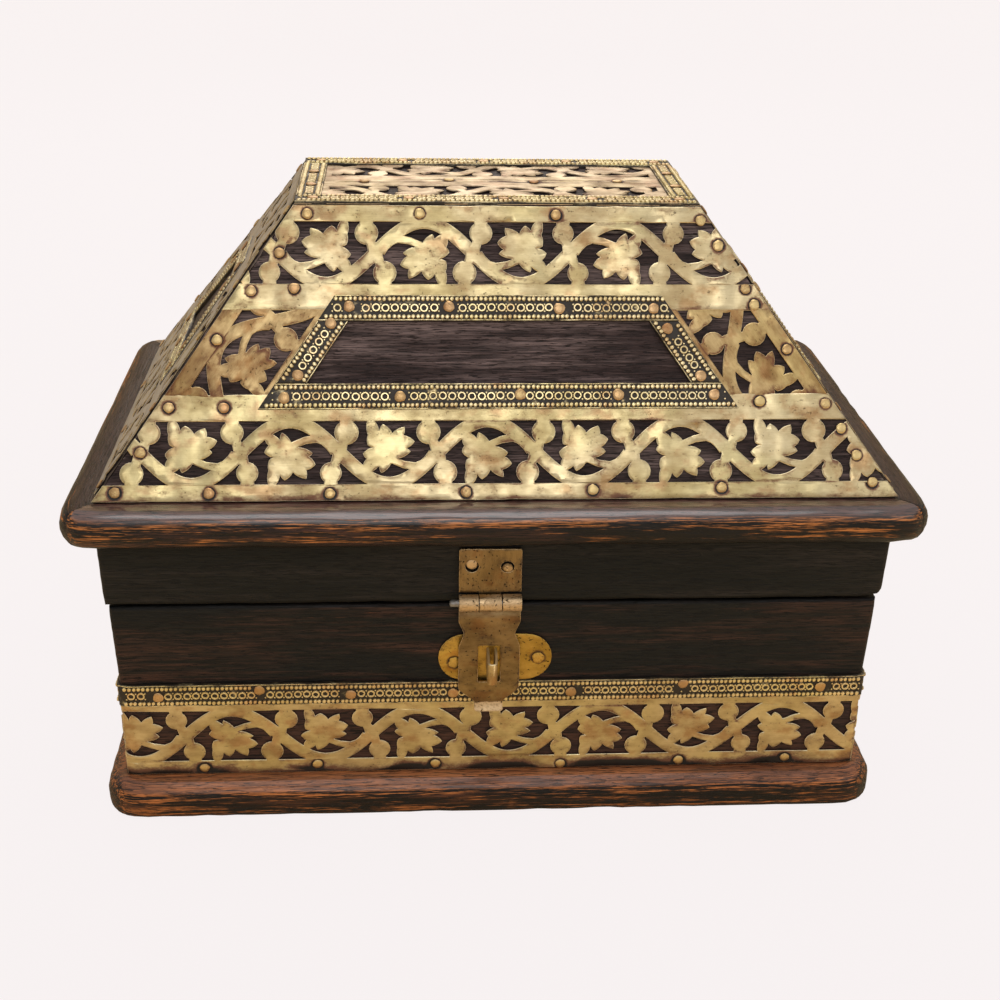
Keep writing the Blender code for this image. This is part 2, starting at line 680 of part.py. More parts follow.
def make_hinge(side, centre):
    """One back hinge: a leaf on the box, a leaf on the lid's rim, and the pin that joins them."""
    axis = Vector((0.0, HINGE_AXIS_Y, HINGE_LEVEL))
    bore = bore_outline(HINGE_PIN_RADIUS)
    front = -HINGE_BARREL_RADIUS + HINGE_LEAF_THICKNESS
    name = "hinge_" + side
    leaves = (
        ("_box_leaf", -HINGE_BARREL_RADIUS - RIM_PROUD, -1.0, middle_span(centre, HINGE_KNUCKLE), None),
        ("_lid_leaf", -HINGE_BARREL_RADIUS, 1.0, outer_spans(centre, HINGE_KNUCKLE, HINGE_WIDTH), lid_empty),
    )
    for suffix, back, away, spans, parent in leaves:
        profile = leaf_profile(HINGE_BARREL_RADIUS, back, front, HINGE_LEAF_LENGTH)
        mesh = drawing_mesh(name + suffix, [profile, bore], HINGE_WIDTH)
        at = leaf_matrix(centre, axis, 1.0, away)
        leaf = place(name + suffix, mesh, HASP_BRASS, at, parent)
        cut_notches(leaf, spans, axis, HINGE_BARREL_RADIUS, away)
    ends = (centre - HINGE_WIDTH / 2, centre + HINGE_WIDTH / 2)
    make_pin(name + "_pin", *ends, axis, HINGE_PIN_RADIUS, PIN_STEEL, None)


clear_scene()
parts = collection("jewellery_box")
cutters = collection("cutters")
lid_empty = joint_empty("lid_hinge_axis", (0.0, HINGE_AXIS_Y, HINGE_LEVEL), None)
flap_empty = joint_empty("hasp_hinge_axis", (HASP_OFFSET, HASP_AXIS_Y, HASP_LEVEL), lid_empty)

make_base()
make_walls()
make_rim()
make_moulding()
make_roof()
for side_name, side_turn in SIDES:
    clad_box(side_name, side_turn)
    clad_slope(side_name, side_turn)
clad_top()
make_hasp()
make_staple()
make_hinge("left", HINGE_INSET - BOX_WIDTH / 2)
make_hinge("right", BOX_WIDTH / 2 - HINGE_INSET)
bpy.context.view_layer.update()
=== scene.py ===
"""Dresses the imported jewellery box: worn dark wood, pierced and beaded brass strip, nails, hasp and hinges.

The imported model's frame is in metres, with the front towards -Y and +Z up. Sheet metal is drawn flat, in
millimetres, as u along a face, v up it and w out of it, and is then laid on that face.
"""

from __future__ import annotations

import json
import logging
import math
import random
from collections.abc import Callable, Iterable, Sequence
from dataclasses import dataclass, field, replace
from enum import Enum
from functools import reduce

import bmesh
import bpy
import numpy as np
from mathutils import Matrix, Vector, noise
from mathutils.geometry import delaunay_2d_cdt


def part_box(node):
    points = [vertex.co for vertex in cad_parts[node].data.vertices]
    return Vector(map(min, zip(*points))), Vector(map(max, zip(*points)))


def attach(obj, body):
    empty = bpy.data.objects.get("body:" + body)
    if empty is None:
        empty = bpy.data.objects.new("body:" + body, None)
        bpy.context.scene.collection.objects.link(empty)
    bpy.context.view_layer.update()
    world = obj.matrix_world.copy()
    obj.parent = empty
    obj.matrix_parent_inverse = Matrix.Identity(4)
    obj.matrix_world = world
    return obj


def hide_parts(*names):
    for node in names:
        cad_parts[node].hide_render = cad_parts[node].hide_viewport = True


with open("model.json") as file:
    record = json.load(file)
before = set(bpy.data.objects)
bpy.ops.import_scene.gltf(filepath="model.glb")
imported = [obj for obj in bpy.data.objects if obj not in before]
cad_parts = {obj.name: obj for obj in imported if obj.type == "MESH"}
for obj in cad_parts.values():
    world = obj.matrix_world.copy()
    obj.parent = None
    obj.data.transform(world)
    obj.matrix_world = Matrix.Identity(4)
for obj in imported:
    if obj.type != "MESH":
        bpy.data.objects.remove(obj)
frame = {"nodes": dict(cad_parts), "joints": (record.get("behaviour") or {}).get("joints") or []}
log = logging.getLogger("jewellery_box")

MM = 0.001
WHITE = (1.0, 1.0, 1.0, 1.0)
RIGHT = Vector((1.0, 0.0, 0.0))
AWAY = Vector((0.0, 1.0, 0.0))
UP = Vector((0.0, 0.0, 1.0))

Point = tuple[float, float]
Outline = list[Point]
Colour = tuple[float, float, float, float]
Faces = list[tuple[int, ...]]
Array = np.ndarray
Place = Callable[[Array], Array]
Socket = bpy.types.NodeSocket


class Side(Enum):
    """The four sides of the box, each with its turn from the front in degrees."""

    FRONT = 0
    RIGHT = 90
    BACK = 180
    LEFT = 270

    @property
    def label(self) -> str:
        """The side's name as the model's nodes spell it."""
        return self.name.lower()

    @property
    def is_long(self) -> bool:
        """True for the front and the back."""
        return self in (Side.FRONT, Side.BACK)

    @property
    def axes(self) -> tuple[int, int]:
        """The axes along the side and out of it: 0 for X and 1 for Y."""
        return (0, 1) if self.is_long else (1, 0)

    def turn(self, vector: Vector) -> Vector:
        """A vector drawn for the front, turned to this side."""
        return Matrix.Rotation(math.radians(self.value), 3, "Z") @ vector


class Stock(Enum):
    """The record's material slots."""

    DARK_WOOD = "dark_wood"
    BROWN_WOOD = "brown_wood"
    PIERCED = "pierced_brass"
    BEADED = "beaded_brass"
    HASP = "hasp_brass"
    PLATE = "plate_brass"
    STEEL = "pin_steel"


@dataclass(frozen=True)
class Measures:
    """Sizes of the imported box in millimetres, as its nodes give them."""

    box_half: tuple[float, float]
    band_foot: float
    strip: float
    bead_foot: float
    bead: float
    roof_half: tuple[float, float]
    roof_foot: float
    roof_top: float
    top_half: tuple[float, float]

    @classmethod
    def read(cls) -> Measures:
        """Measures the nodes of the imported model.

        Returns:
            The sizes that the cladding is laid out by.
        """
        band_low, band_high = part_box("base_band_front")
        bead_low, bead_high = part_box("bead_strip_front")
        top_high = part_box("top_panel")[1]
        return cls(
            box_half=(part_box("box_front")[1].x / MM, -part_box("box_front")[0].y / MM),
            band_foot=band_low.z / MM,
            strip=(band_high.z - band_low.z) / MM,
            bead_foot=bead_low.z / MM,
            bead=(bead_high.z - bead_low.z) / MM,
            roof_half=(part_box("roof_panel_right")[1].x / MM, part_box("roof_panel_back")[1].y / MM),
            roof_foot=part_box("roof_panel_front")[0].z / MM,
            roof_top=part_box("roof_top_board")[1].z / MM,
            top_half=(top_high.x / MM, top_high.y / MM),
        )


def srgb(red: int, green: int, blue: int) -> Colour:
    """Turns a colour as a screen shows it into the linear one that shaders take.

    Args:
        red: Red, from 0 to 255.
        green: Green, from 0 to 255.
        blue: Blue, from 0 to 255.

    Returns:
        The linear colour, opaque.
    """
    shares = [part / 255 for part in (red, green, blue)]
    linear = [part / 12.92 if part <= 0.04045 else ((part + 0.055) / 1.055) ** 2.4 for part in shares]
    return (linear[0], linear[1], linear[2], 1.0)


class Graph:
    """Adds and links the nodes of one shader tree."""

    def __init__(self, tree: bpy.types.NodeTree) -> None:
        """Takes the tree to draw in."""
        self.tree = tree

    def feed(self, node: bpy.types.Node, inputs: dict) -> None:
        """Sets inputs of a node.

        Args:
            node: The node.
            inputs: Input name or index to a constant, or to the socket that feeds it.
        """
        for key, value in inputs.items():
            if isinstance(value, Socket):
                self.tree.links.new(value, node.inputs[key])
            else:
                node.inputs[key].default_value = value

    def node(self, kind: str, inputs: dict | None = None, **settings: object) -> bpy.types.Node:
        """Adds a node.

        Args:
            kind: The node's type.
            inputs: Its inputs, as feed takes them.
            settings: Properties of the node.

        Returns:
            The new node.
        """
        made = self.tree.nodes.new(kind)
        for key, value in settings.items():
            setattr(made, key, value)
        self.feed(made, inputs or {})
        return made

    def attribute(self, name: str, output: str = "Fac") -> Socket:
        """Reads a mesh attribute."""
        return self.node("ShaderNodeAttribute", attribute_name=name).outputs[output]

    def noise(self, vector: Socket, scale: Sequence[float], detail: float, rough: float = 0.55) -> Socket:
        """Noise of about one feature to a unit of the scaled vector.

        Args:
            vector: Where the noise is taken.
            scale: What the vector is multiplied by, axis by axis.
            detail: How many finer layers it has.
            rough: How strong they are.

        Returns:
            The noise, about 0 to 1.
        """
        scaled = self.node("ShaderNodeVectorMath", {0: vector, 1: scale}, operation="MULTIPLY").outputs[0]
        inputs = {"Vector": scaled, "Scale": 1.0, "Detail": detail, "Roughness": rough}
        return self.node("ShaderNodeTexNoise", inputs).outputs[0]

    def sum(self, kind: str, first: object, second: object) -> Socket:
        """One step of arithmetic on two values."""
        return self.node("ShaderNodeMath", {0: first, 1: second}, operation=kind).outputs[0]

    def times(self, first: object, second: object) -> Socket:
        """Multiplies two values."""
        return self.sum("MULTIPLY", first, second)

    def plus(self, *terms: object) -> Socket:
        """Adds values up. A term that is a pair is a value and its weight."""
        parts = [self.times(*term) if isinstance(term, tuple) else term for term in terms]
        return reduce(lambda total, part: self.sum("ADD", total, part), parts)

    def ramp(self, value: Socket, low: float, high: float) -> Socket:
        """Takes low to 0 and high to 1, smoothly."""
        inputs = {"Value": value, "From Min": low, "From Max": high}
        return self.node("ShaderNodeMapRange", inputs, interpolation_type="SMOOTHSTEP").outputs[0]

    def blend(self, factor: object, first: object, second: object, kind: str = "MIX") -> Socket:
        """Mixes two colours."""
        inputs = {0: factor, 6: first, 7: second}
        return self.node("ShaderNodeMix", inputs, data_type="RGBA", blend_type=kind).outputs[2]

    def between(self, factor: object, first: object, second: object) -> Socket:
        """Mixes two values."""
        return self.node("ShaderNodeMix", {0: factor, 2: first, 3: second}, data_type="FLOAT").outputs[0]


class Effect:
    """A shader node group that several finishes share, made the first time that it is asked for."""

    name = "effect"
    inputs: tuple[tuple[str, float], ...] = ()
    outputs: tuple[str, ...] = ()

    @classmethod
    def tree(cls) -> bpy.types.NodeTree:
        """Finds the group, or makes it.

        Returns:
            The node group.
        """
        found = bpy.data.node_groups.get(cls.name)
        if found:
            return found
        made = bpy.data.node_groups.new(cls.name, "ShaderNodeTree")
        for label, value in cls.inputs:
            socket = made.interface.new_socket(label, in_out="INPUT", socket_type="NodeSocketFloat")
            socket.default_value = value
        for label in cls.outputs:
            made.interface.new_socket(label, in_out="OUTPUT", socket_type="NodeSocketFloat")
        graph = Graph(made)
        graph.node("NodeGroupOutput", cls.draw(graph, graph.node("NodeGroupInput").outputs))
        return made

    @classmethod
    def draw(cls, graph: Graph, given: Sequence[Socket]) -> dict[str, Socket]:
        """Draws the group's inside and returns its outputs by name."""
        raise NotImplementedError

    @classmethod
    def use(cls, graph: Graph, **values: float) -> Sequence[Socket]:
        """Adds the group to a material and returns its outputs."""
        inputs = {key.title(): value for key, value in values.items()}
        return graph.node("ShaderNodeGroup", inputs, node_tree=cls.tree()).outputs


class Grain(Effect):
    """Wood figure, streaks and open pores along the board's own length."""

    name = "wood_grain"
    outputs = ("Figure", "Streak", "Fibre", "Pores", "Height")

    @classmethod
    def draw(cls, graph: Graph, given: Sequence[Socket]) -> dict[str, Socket]:
        """Draws the group's inside.

        Args:
            graph: The group's tree.
            given: The group's inputs. Not used.

        Returns:
            Its outputs by name.
        """
        lay = graph.attribute("lay", "Vector")
        figure = graph.noise(lay, (0.012, 0.11, 0.11), 4.0, 0.6)
        streak = graph.noise(lay, (0.03, 0.85, 0.85), 6.0, 0.68)
        fibre = graph.noise(lay, (0.1, 2.6, 2.6), 3.0, 0.66)
        pore = graph.ramp(graph.noise(lay, (0.2, 2.5, 2.5), 2.0), 0.57, 0.62)
        height = graph.sum("SUBTRACT", graph.plus((streak, 1.2), (fibre, 0.7), (figure, 0.4)), pore)
        return {"Figure": figure, "Streak": streak, "Fibre": fibre, "Pores": pore, "Height": height}


class Rubbing(Effect):
    """Where hands have worn the finish off the edges."""

    name = "rubbed_edges"
    inputs = (("Reach", 0.5), ("Nose", 0.0))
    outputs = ("Mask",)

    @classmethod
    def draw(cls, graph: Graph, given: Sequence[Socket]) -> dict[str, Socket]:
        """Draws the group's inside.

        Args:
            graph: The group's tree.
            given: The group's inputs.

        Returns:
            Its outputs by name.
        """
        lay = graph.attribute("lay", "Vector")
        streaks = graph.noise(lay, (0.05, 0.9, 0.9), 5.0, 0.7)
        patches = graph.noise(lay, (0.018, 0.08, 0.08), 4.0, 0.62)
        ragged = graph.plus(streaks, patches)
        # On wood this attribute holds how much a face looks up, the mask of its painted shade.
        sideways = graph.ramp(graph.attribute("grime"), 0.9, 0.7)
        wear = graph.attribute("wear")
        level = graph.plus((wear, 0.55), ragged, given["Reach"], (sideways, given["Nose"]))
        return {"Mask": graph.ramp(level, 1.6, 1.76)}


class Patina(Effect):
    """Dull patches, brown tarnish, sooty marks with painted shade, pits and brush lines on sheet metal."""

    name = "metal_patina"
    inputs = (("Dulling", 0.5), ("Tarnish", 0.0), ("Speckle", 0.5), ("Creases", 0.0))
    outputs = ("Dull", "Brown", "Soot", "Pits", "Brush", "Bright", "Drift", "Blush", "Height")

    @classmethod
    def draw(cls, graph: Graph, given: Sequence[Socket]) -> dict[str, Socket]:
        """Draws the group's inside.

        Args:
            graph: The group's tree.
            given: The group's inputs.

        Returns:
            Its outputs by name.
        """
        lay = graph.attribute("lay", "Vector")
        grime = graph.attribute("grime")
        broad = graph.noise(lay, (0.06, 0.08, 0.08), 3.0)
        patch = graph.noise(lay, (0.15, 0.24, 0.24), 5.0, 0.62)
        fine = graph.noise(lay, (1.2, 1.7, 1.7), 4.0, 0.6)
        brush = graph.noise(lay, (0.1, 5.0, 5.0), 3.0, 0.6)
        spots = graph.noise(lay, (1.0, 1.15, 1.15), 1.0)
        folds = graph.noise(lay, (0.08, 0.025, 0.025), 1.5)
        rough = graph.plus(patch, (fine, 0.35), given["Tarnish"])
        clusters = graph.ramp(graph.plus(patch, (given["Speckle"], 0.2)), 0.6, 0.72)
        pits = graph.times(graph.ramp(spots, 0.64, 0.74), graph.times(clusters, given["Speckle"]))
        height = graph.sum("SUBTRACT", graph.plus((brush, 0.2), (patch, 0.8), (fine, 0.35)), pits)
        worn = graph.plus(graph.attribute("wear"), graph.sum("SUBTRACT", fine, 0.5))
        # Brown and the sooty mask grow with the corners' soiling-and-shade value, so they carry painted shade
        # round nails, at the feet of heads and beads and on sheet backs.
        return {
            "Dull": graph.ramp(graph.plus((broad, 0.55), (patch, 0.45), given["Dulling"]), 0.86, 1.14),
            "Brown": graph.ramp(graph.plus((grime, 0.75), rough), 0.86, 1.24),
            "Soot": graph.ramp(graph.plus(grime, (fine, 0.3)), 0.66, 1.0),
            "Pits": pits,
            "Brush": brush,
            "Bright": graph.ramp(worn, 0.45, 0.85),
            "Drift": graph.ramp(graph.noise(lay, (0.022, 0.03, 0.03), 2.0), 0.42, 0.62),
            "Blush": graph.ramp(graph.noise(lay, (0.1, 0.13, 0.13), 4.0, 0.6), 0.5, 0.68),
            "Height": graph.plus(height, (folds, given["Creases"])),
        }


class Finish:
    """The look of a stock, made into a material the first time that a piece needs it."""

    name: str

    def material(self) -> bpy.types.Material:
        """Finds the finish's material, or makes it.

        Returns:
            The material.
        """
        found = bpy.data.materials.get(self.name)
        if found:
            return found
        made = bpy.data.materials.new(self.name)
        made.use_nodes = True
        graph = Graph(made.node_tree)
        graph.feed(made.node_tree.nodes["Principled BSDF"], self.inputs(graph))
        return made

    def inputs(self, graph: Graph) -> dict[str, object]:
        """Draws the look and returns the shader's inputs by name."""
        raise NotImplementedError


@dataclass(frozen=True)
class MetalFinish(Finish):
    """Aged sheet metal."""

    name: str
    bright: Colour
    dull: Colour
    brown: Colour
    dulling: float
    tarnish: float
    speckle: float
    smooth: float
    matt: float
    bump: float = 0.35
    tarnish_metal: float = 0.6
    # Colour of sooty marks and of painted shade.
    soot: Colour = srgb(20, 14, 11)
    # Colour of rubbed places, which some pieces also use as a painted highlight.
    polished: Colour | None = None
    # Grey painted at glancing angles, a painted reflection of the pale room; None for none.
    haze: Colour | None = None
    creases: float = 0.0

    def inputs(self, graph: Graph) -> dict[str, object]:
        """Draws the look.

        Args:
            graph: The material's tree.

        Returns:
            The shader's inputs by name.
        """
        aged = Patina.use(
            graph, dulling=self.dulling, tarnish=self.tarnish, speckle=self.speckle, creases=self.creases
        )
        colour = graph.blend(aged["Dull"], self.bright, self.dull)
        tint = graph.blend(aged["Drift"], WHITE, (0.95, 0.96, 0.84, 1.0))
        tint = graph.blend(aged["Blush"], tint, (0.8, 0.66, 0.58, 1.0))
        colour = graph.blend(1.0, colour, tint, "MULTIPLY")
        lines = graph.ramp(aged["Brush"], 0.3, 0.7)
        colour = graph.blend(0.8, colour, graph.blend(lines, (0.87, 0.85, 0.82, 1.0), WHITE), "MULTIPLY")
        colour = graph.blend(aged["Brown"], colour, self.brown)
        colour = graph.blend(graph.times(aged["Bright"], 0.85), colour, self.polished or self.bright)
        # Pits, sooty marks and painted shade all take the sooty colour.
        stains_and_shade = graph.sum("MAXIMUM", graph.times(aged["Pits"], 0.75), aged["Soot"])
        colour = graph.blend(stains_and_shade, colour, self.soot)
        rough = graph.between(aged["Dull"], self.smooth, self.matt)
        rough = graph.plus(rough, (aged["Brown"], 0.16), (aged["Brush"], 0.08))
        metal = graph.between(aged["Soot"], graph.between(aged["Brown"], 1.0, self.tarnish_metal), 0.1)
        # Painted reflection: at glancing angles the colour turns grey and dull, for the pale room seen in the
        # metal.
        if self.haze:
            grazing = graph.node("ShaderNodeLayerWeight", {"Blend": 0.5}).outputs["Facing"]
            glancing_share = graph.times(graph.ramp(grazing, 0.74, 0.9), graph.between(lines, 0.35, 0.9))
            colour = graph.blend(glancing_share, colour, self.haze)
            metal = graph.between(glancing_share, metal, 0.0)
            rough = graph.between(glancing_share, rough, 0.8)
        relief = {"Strength": self.bump, "Distance": 0.0002, "Height": aged["Height"]}
        normal = graph.node("ShaderNodeBump", relief).outputs[0]
        return {"Base Color": colour, "Roughness": rough, "Metallic": metal, "Normal": normal}


@dataclass(frozen=True)
class WoodFinish(Finish):
    """Old stained wood, rubbed through along its edges, with painted shade on faces that look down and a
    lighter top tone, partly painted sheen, on faces that look up.
    """

    name: str
    deep: Colour
    warm: Colour
    rubbed: Colour
    upper: Colour
    reach: float
    smooth: float
    matt: float
    bump: float = 0.5
    gloss: float = 0.5
    nose: float = 0.0
    # How dark the painted shade on faces that look down is, and from which facing it starts.
    under: float = 0.35
    dark_from: float = 0.52
    sheen: float = 0.0

    def inputs(self, graph: Graph) -> dict[str, object]:
        """Draws the look.

        Args:
            graph: The material's tree.

        Returns:
            The shader's inputs by name.
        """
        grain = Grain.use(graph)
        mask = Rubbing.use(graph, reach=self.reach, nose=self.nose)["Mask"]
        tone = graph.plus((grain["Figure"], 0.7), (grain["Streak"], 0.5))
        colour = graph.blend(graph.ramp(tone, 0.54, 0.8), self.deep, self.warm)
        lines = graph.plus((grain["Streak"], 0.6), (grain["Fibre"], 0.4))
        colour = graph.blend(mask, colour, graph.blend(graph.ramp(lines, 0.48, 0.56), self.deep, self.rubbed))
        # The facing value: faces that look up take the upper tone, partly a painted sheen, and those that
        # look down take painted shade.
        facing = graph.attribute("grime")
        top_tone_and_sheen = graph.blend(graph.ramp(tone, 0.45, 0.75), self.warm, self.upper)
        colour = graph.blend(graph.ramp(facing, 0.68, 0.9), colour, top_tone_and_sheen)
        # Painted shade on faces that look down and on wood that the pieces mark as shaded.
        shade = graph.between(graph.ramp(facing, self.dark_from, self.dark_from - 0.16), 1.0, self.under)
        shade = graph.times(shade, graph.between(graph.ramp(grain["Fibre"], 0.36, 0.64), 0.55, 1.3))
        grey = graph.node("ShaderNodeCombineColor", dict.fromkeys(range(3), shade)).outputs[0]
        colour = graph.blend(1.0, colour, grey, "MULTIPLY")
        dark = tuple(0.25 * part for part in self.deep[:3]) + (1.0,)
        colour = graph.blend(graph.times(grain["Pores"], 0.85), colour, dark)
        relief = {"Strength": self.bump, "Distance": 0.0003, "Height": grain["Height"]}
        return {
            "Base Color": colour,
            "Roughness": graph.between(graph.ramp(grain["Streak"], 0.35, 0.65), self.smooth, self.matt),
            "Normal": graph.node("ShaderNodeBump", relief).outputs[0],
            "Coat Weight": graph.times(graph.ramp(facing, 0.66, 0.86), self.sheen),
            "Coat Roughness": 0.2,
            "Coat IOR": 1.8,
            "Specular IOR Level": self.gloss,
        }


PIERCED_BRASS = MetalFinish(
    "aged_pierced_brass", srgb(216, 199, 158), srgb(184, 163, 122), srgb(122, 86, 66), 0.5, 0.12, 0.7,
    0.26, 0.42,
    polished=srgb(240, 225, 188), creases=16.0,
)
COPPERY_BRASS = MetalFinish(
    "aged_coppery_brass", srgb(200, 174, 126), srgb(156, 126, 86), srgb(116, 76, 56), 0.5, 0.14, 0.7,
    0.3, 0.48,
    polished=srgb(228, 204, 158), creases=12.0,
)
# Painted shade: a darker copy of the brass for the short sides, with the painted glancing reflection.
SHADED_SIDE_BRASS = MetalFinish(
    "aged_side_brass", srgb(190, 166, 122), srgb(144, 120, 84), srgb(94, 68, 50), 0.52, 0.14, 0.7, 0.36,
    0.54,
    polished=srgb(212, 194, 152), haze=srgb(172, 165, 152),
)
# A darker, pinker copy of the pierced brass for the flat top: the pink is its tone, the darkness painted
# shade against the strong back light.
SHADED_TOP_BRASS = MetalFinish(
    "aged_top_brass", srgb(212, 193, 160), srgb(168, 145, 114), srgb(110, 80, 68), 0.5, 0.13, 0.7, 0.3,
    0.48
)
# Its brown and sooty colours are the near-black of the strips' floors, tarnish and painted shade.
BEADED_BRASS = MetalFinish(
    "aged_beaded_brass", srgb(236, 218, 172), srgb(198, 174, 122), srgb(36, 27, 16), 0.44, -0.12, 0.0,
    0.28, 0.42, 0.2,
    0.1, soot=srgb(36, 27, 16),
)
# Painted shade: a darker copy of the beaded brass for the short sides, with the painted glancing reflection.
SHADED_SIDE_BEADED_BRASS = replace(
    BEADED_BRASS, name="aged_side_beaded_brass", bright=srgb(186, 170, 132), dull=srgb(150, 132, 96),
    haze=srgb(172, 165, 152),
)
HASP_BRASS = MetalFinish(
    "aged_hasp_brass", srgb(152, 127, 90), srgb(122, 99, 67), srgb(70, 51, 37), 0.5, 0.18, 1.2, 0.34,
    0.5, 0.6,
    polished=srgb(216, 186, 144),
)
PLATE_BRASS = MetalFinish(
    "aged_plate_brass", srgb(208, 172, 92), srgb(174, 138, 64), srgb(112, 80, 40), 0.5, 0.18, 1.1, 0.32,
    0.48, 0.5
)
# Its bright polish colour paints the highlight on the staple's top edges.
STAPLE_BRASS = MetalFinish(
    "aged_staple_brass", srgb(222, 196, 142), srgb(180, 150, 98), srgb(96, 66, 40), 0.5, 0.0, 0.5, 0.46,
    0.6,
    polished=srgb(252, 234, 190),
)
NAIL_BRASS = MetalFinish(
    "aged_nail_brass", srgb(206, 170, 126), srgb(178, 144, 104), srgb(92, 64, 46), 0.48, 0.06, 0.6, 0.28,
    0.44, 0.5,
    polished=srgb(212, 188, 132),
)
PIN_STEEL = MetalFinish(
    "aged_pin_steel", srgb(206, 204, 200), srgb(160, 157, 153), srgb(84, 64, 52), 0.5, -0.05, 0.6, 0.36,
    0.52, 0.5
)
WALL_WOOD = WoodFinish(
    "worn_wall_wood", srgb(18, 19, 18), srgb(72, 47, 37), srgb(140, 82, 46), srgb(50, 35, 34), 0.15,
    0.42, 0.6, 0.5, 0.22,
    under=0.15,
)
RIM_WOOD = WoodFinish(
    "worn_rim_wood", srgb(14, 16, 15), srgb(40, 35, 32), srgb(130, 78, 46), srgb(60, 42, 36), 0.02, 0.42,
    0.6, 0.5, 0.22,
    under=0.15,
)
ROOF_WOOD = WoodFinish(
    "worn_roof_wood", srgb(46, 32, 30), srgb(120, 102, 99), srgb(120, 108, 98), srgb(64, 46, 44), 0.1,
    0.45, 0.65, 0.6,
    0.2, under=0.85,
)
MOULDING_WOOD = WoodFinish(
    "worn_moulding_wood", srgb(12, 8, 7), srgb(72, 44, 36), srgb(168, 104, 52), srgb(94, 64, 56), 0.18,
    0.3, 0.5,
    0.6, 0.3, 0.2, 0.35, 0.3, 0.9,
)
# Painted shade: a darker copy of the moulding's finish for the short sides, which is also less rubbed and
# less glossy.
SHADED_SIDE_MOULDING_WOOD = replace(
    MOULDING_WOOD, name="worn_side_moulding_wood", upper=srgb(58, 42, 40), warm=srgb(46, 31, 28),
    reach=0.08,
    nose=0.05, gloss=0.15, sheen=0.1,
)
BASE_WOOD = WoodFinish(
    "worn_base_wood", srgb(14, 9, 7), srgb(102, 59, 36), srgb(170, 102, 52), srgb(172, 106, 62), 0.2,
    0.34, 0.52, 0.6,
    0.3, 0.26, 0.3, 0.5, 0.25,
)


@dataclass(frozen=True)
class Facet:
    """A flat face that carries brass, with u along it, v up it and w out of it."""

    origin: Vector
    along: Vector
    up: Vector

    @property
    def normal(self) -> Vector:
        """The way out of the face."""
        return self.along.cross(self.up)

    def place(self, points: Array) -> Array:
        """Takes flat points in millimetres to the model's frame in metres."""
        return (points * MM) @ np.array([self.along, self.up, self.normal]) + np.array(self.origin)


@dataclass(frozen=True)
class WallFace(Facet):
    """A wall of the box, whose strips are bent round its corners."""

    half: float
    corner: float = 1.8

    @property
    def reach(self) -> float:
        """How far along the face a strip runs to meet its neighbour in the middle of the corner."""
        return self.half - self.corner + self.corner * math.pi / 4

    def place(self, points: Array) -> Array:
        """Takes flat points to the model's frame, round the corners.

        Args:
            points: Flat points, in millimetres.

        Returns:
            The points, in metres.
        """
        bent = points.copy()
        flat = self.half - self.corner
        angle = np.clip(np.abs(points[:, 0]) - flat, 0.0, None) / self.corner
        radius = self.corner + points[:, 2]
        turned = np.sign(points[:, 0]) * (flat + radius * np.sin(angle))
        bent[:, 0] = np.where(angle > 0, turned, points[:, 0])
        bent[:, 2] = np.where(angle > 0, radius * np.cos(angle) - self.corner, points[:, 2])
        return super().place(bent)


@dataclass(frozen=True)
class RolledLeaf:
    """Sheet rolled round a pin: u along the pin, v from the pin along the leaf, w out of the leaf's back."""

    centre: float
    axis_y: float
    axis_z: float
    radius: float
    outward: float
    direction: float
    jog: tuple[float, float, float] = (0.0, 1.0, 0.0)
    lip: tuple[float, float] = (1000.0, 0.0)

    def place(self, points: Array) -> Array:
        """Takes flat points to the model's frame, round the pin.

        Args:
            points: Flat points, in millimetres.

        Returns:
            The points, in metres.
        """
        run, height = points[:, 1], points[:, 2]
        angle = np.clip(-run, 0.0, None) / self.radius
        start, end, shift = self.jog
        share = np.clip((run - start) / (end - start), 0.0, 1.0)
        bend = shift * share * share * (3 - 2 * share)
        bend = bend + self.lip[1] * np.clip(run - self.lip[0], 0.0, None) ** 2
        rolled = run < 0
        along = np.where(rolled, -(self.radius - height) * np.sin(angle), run)
        out = np.where(rolled, -(self.radius - height) * np.cos(angle), height - self.radius + bend)
        x = self.centre + points[:, 0]
        y = self.axis_y + self.outward * out
        z = self.axis_z + self.direction * along
        return np.stack([x, y, z], axis=1) * MM


@dataclass(frozen=True)
class Template:
    """A small shape that is copied many times, in millimetres about its own foot."""

    points: Array
    faces: Faces
    # How rubbed each point is, and how dark it is painted towards the foot, from 0 to 1.
    wear: Array
    grime: Array


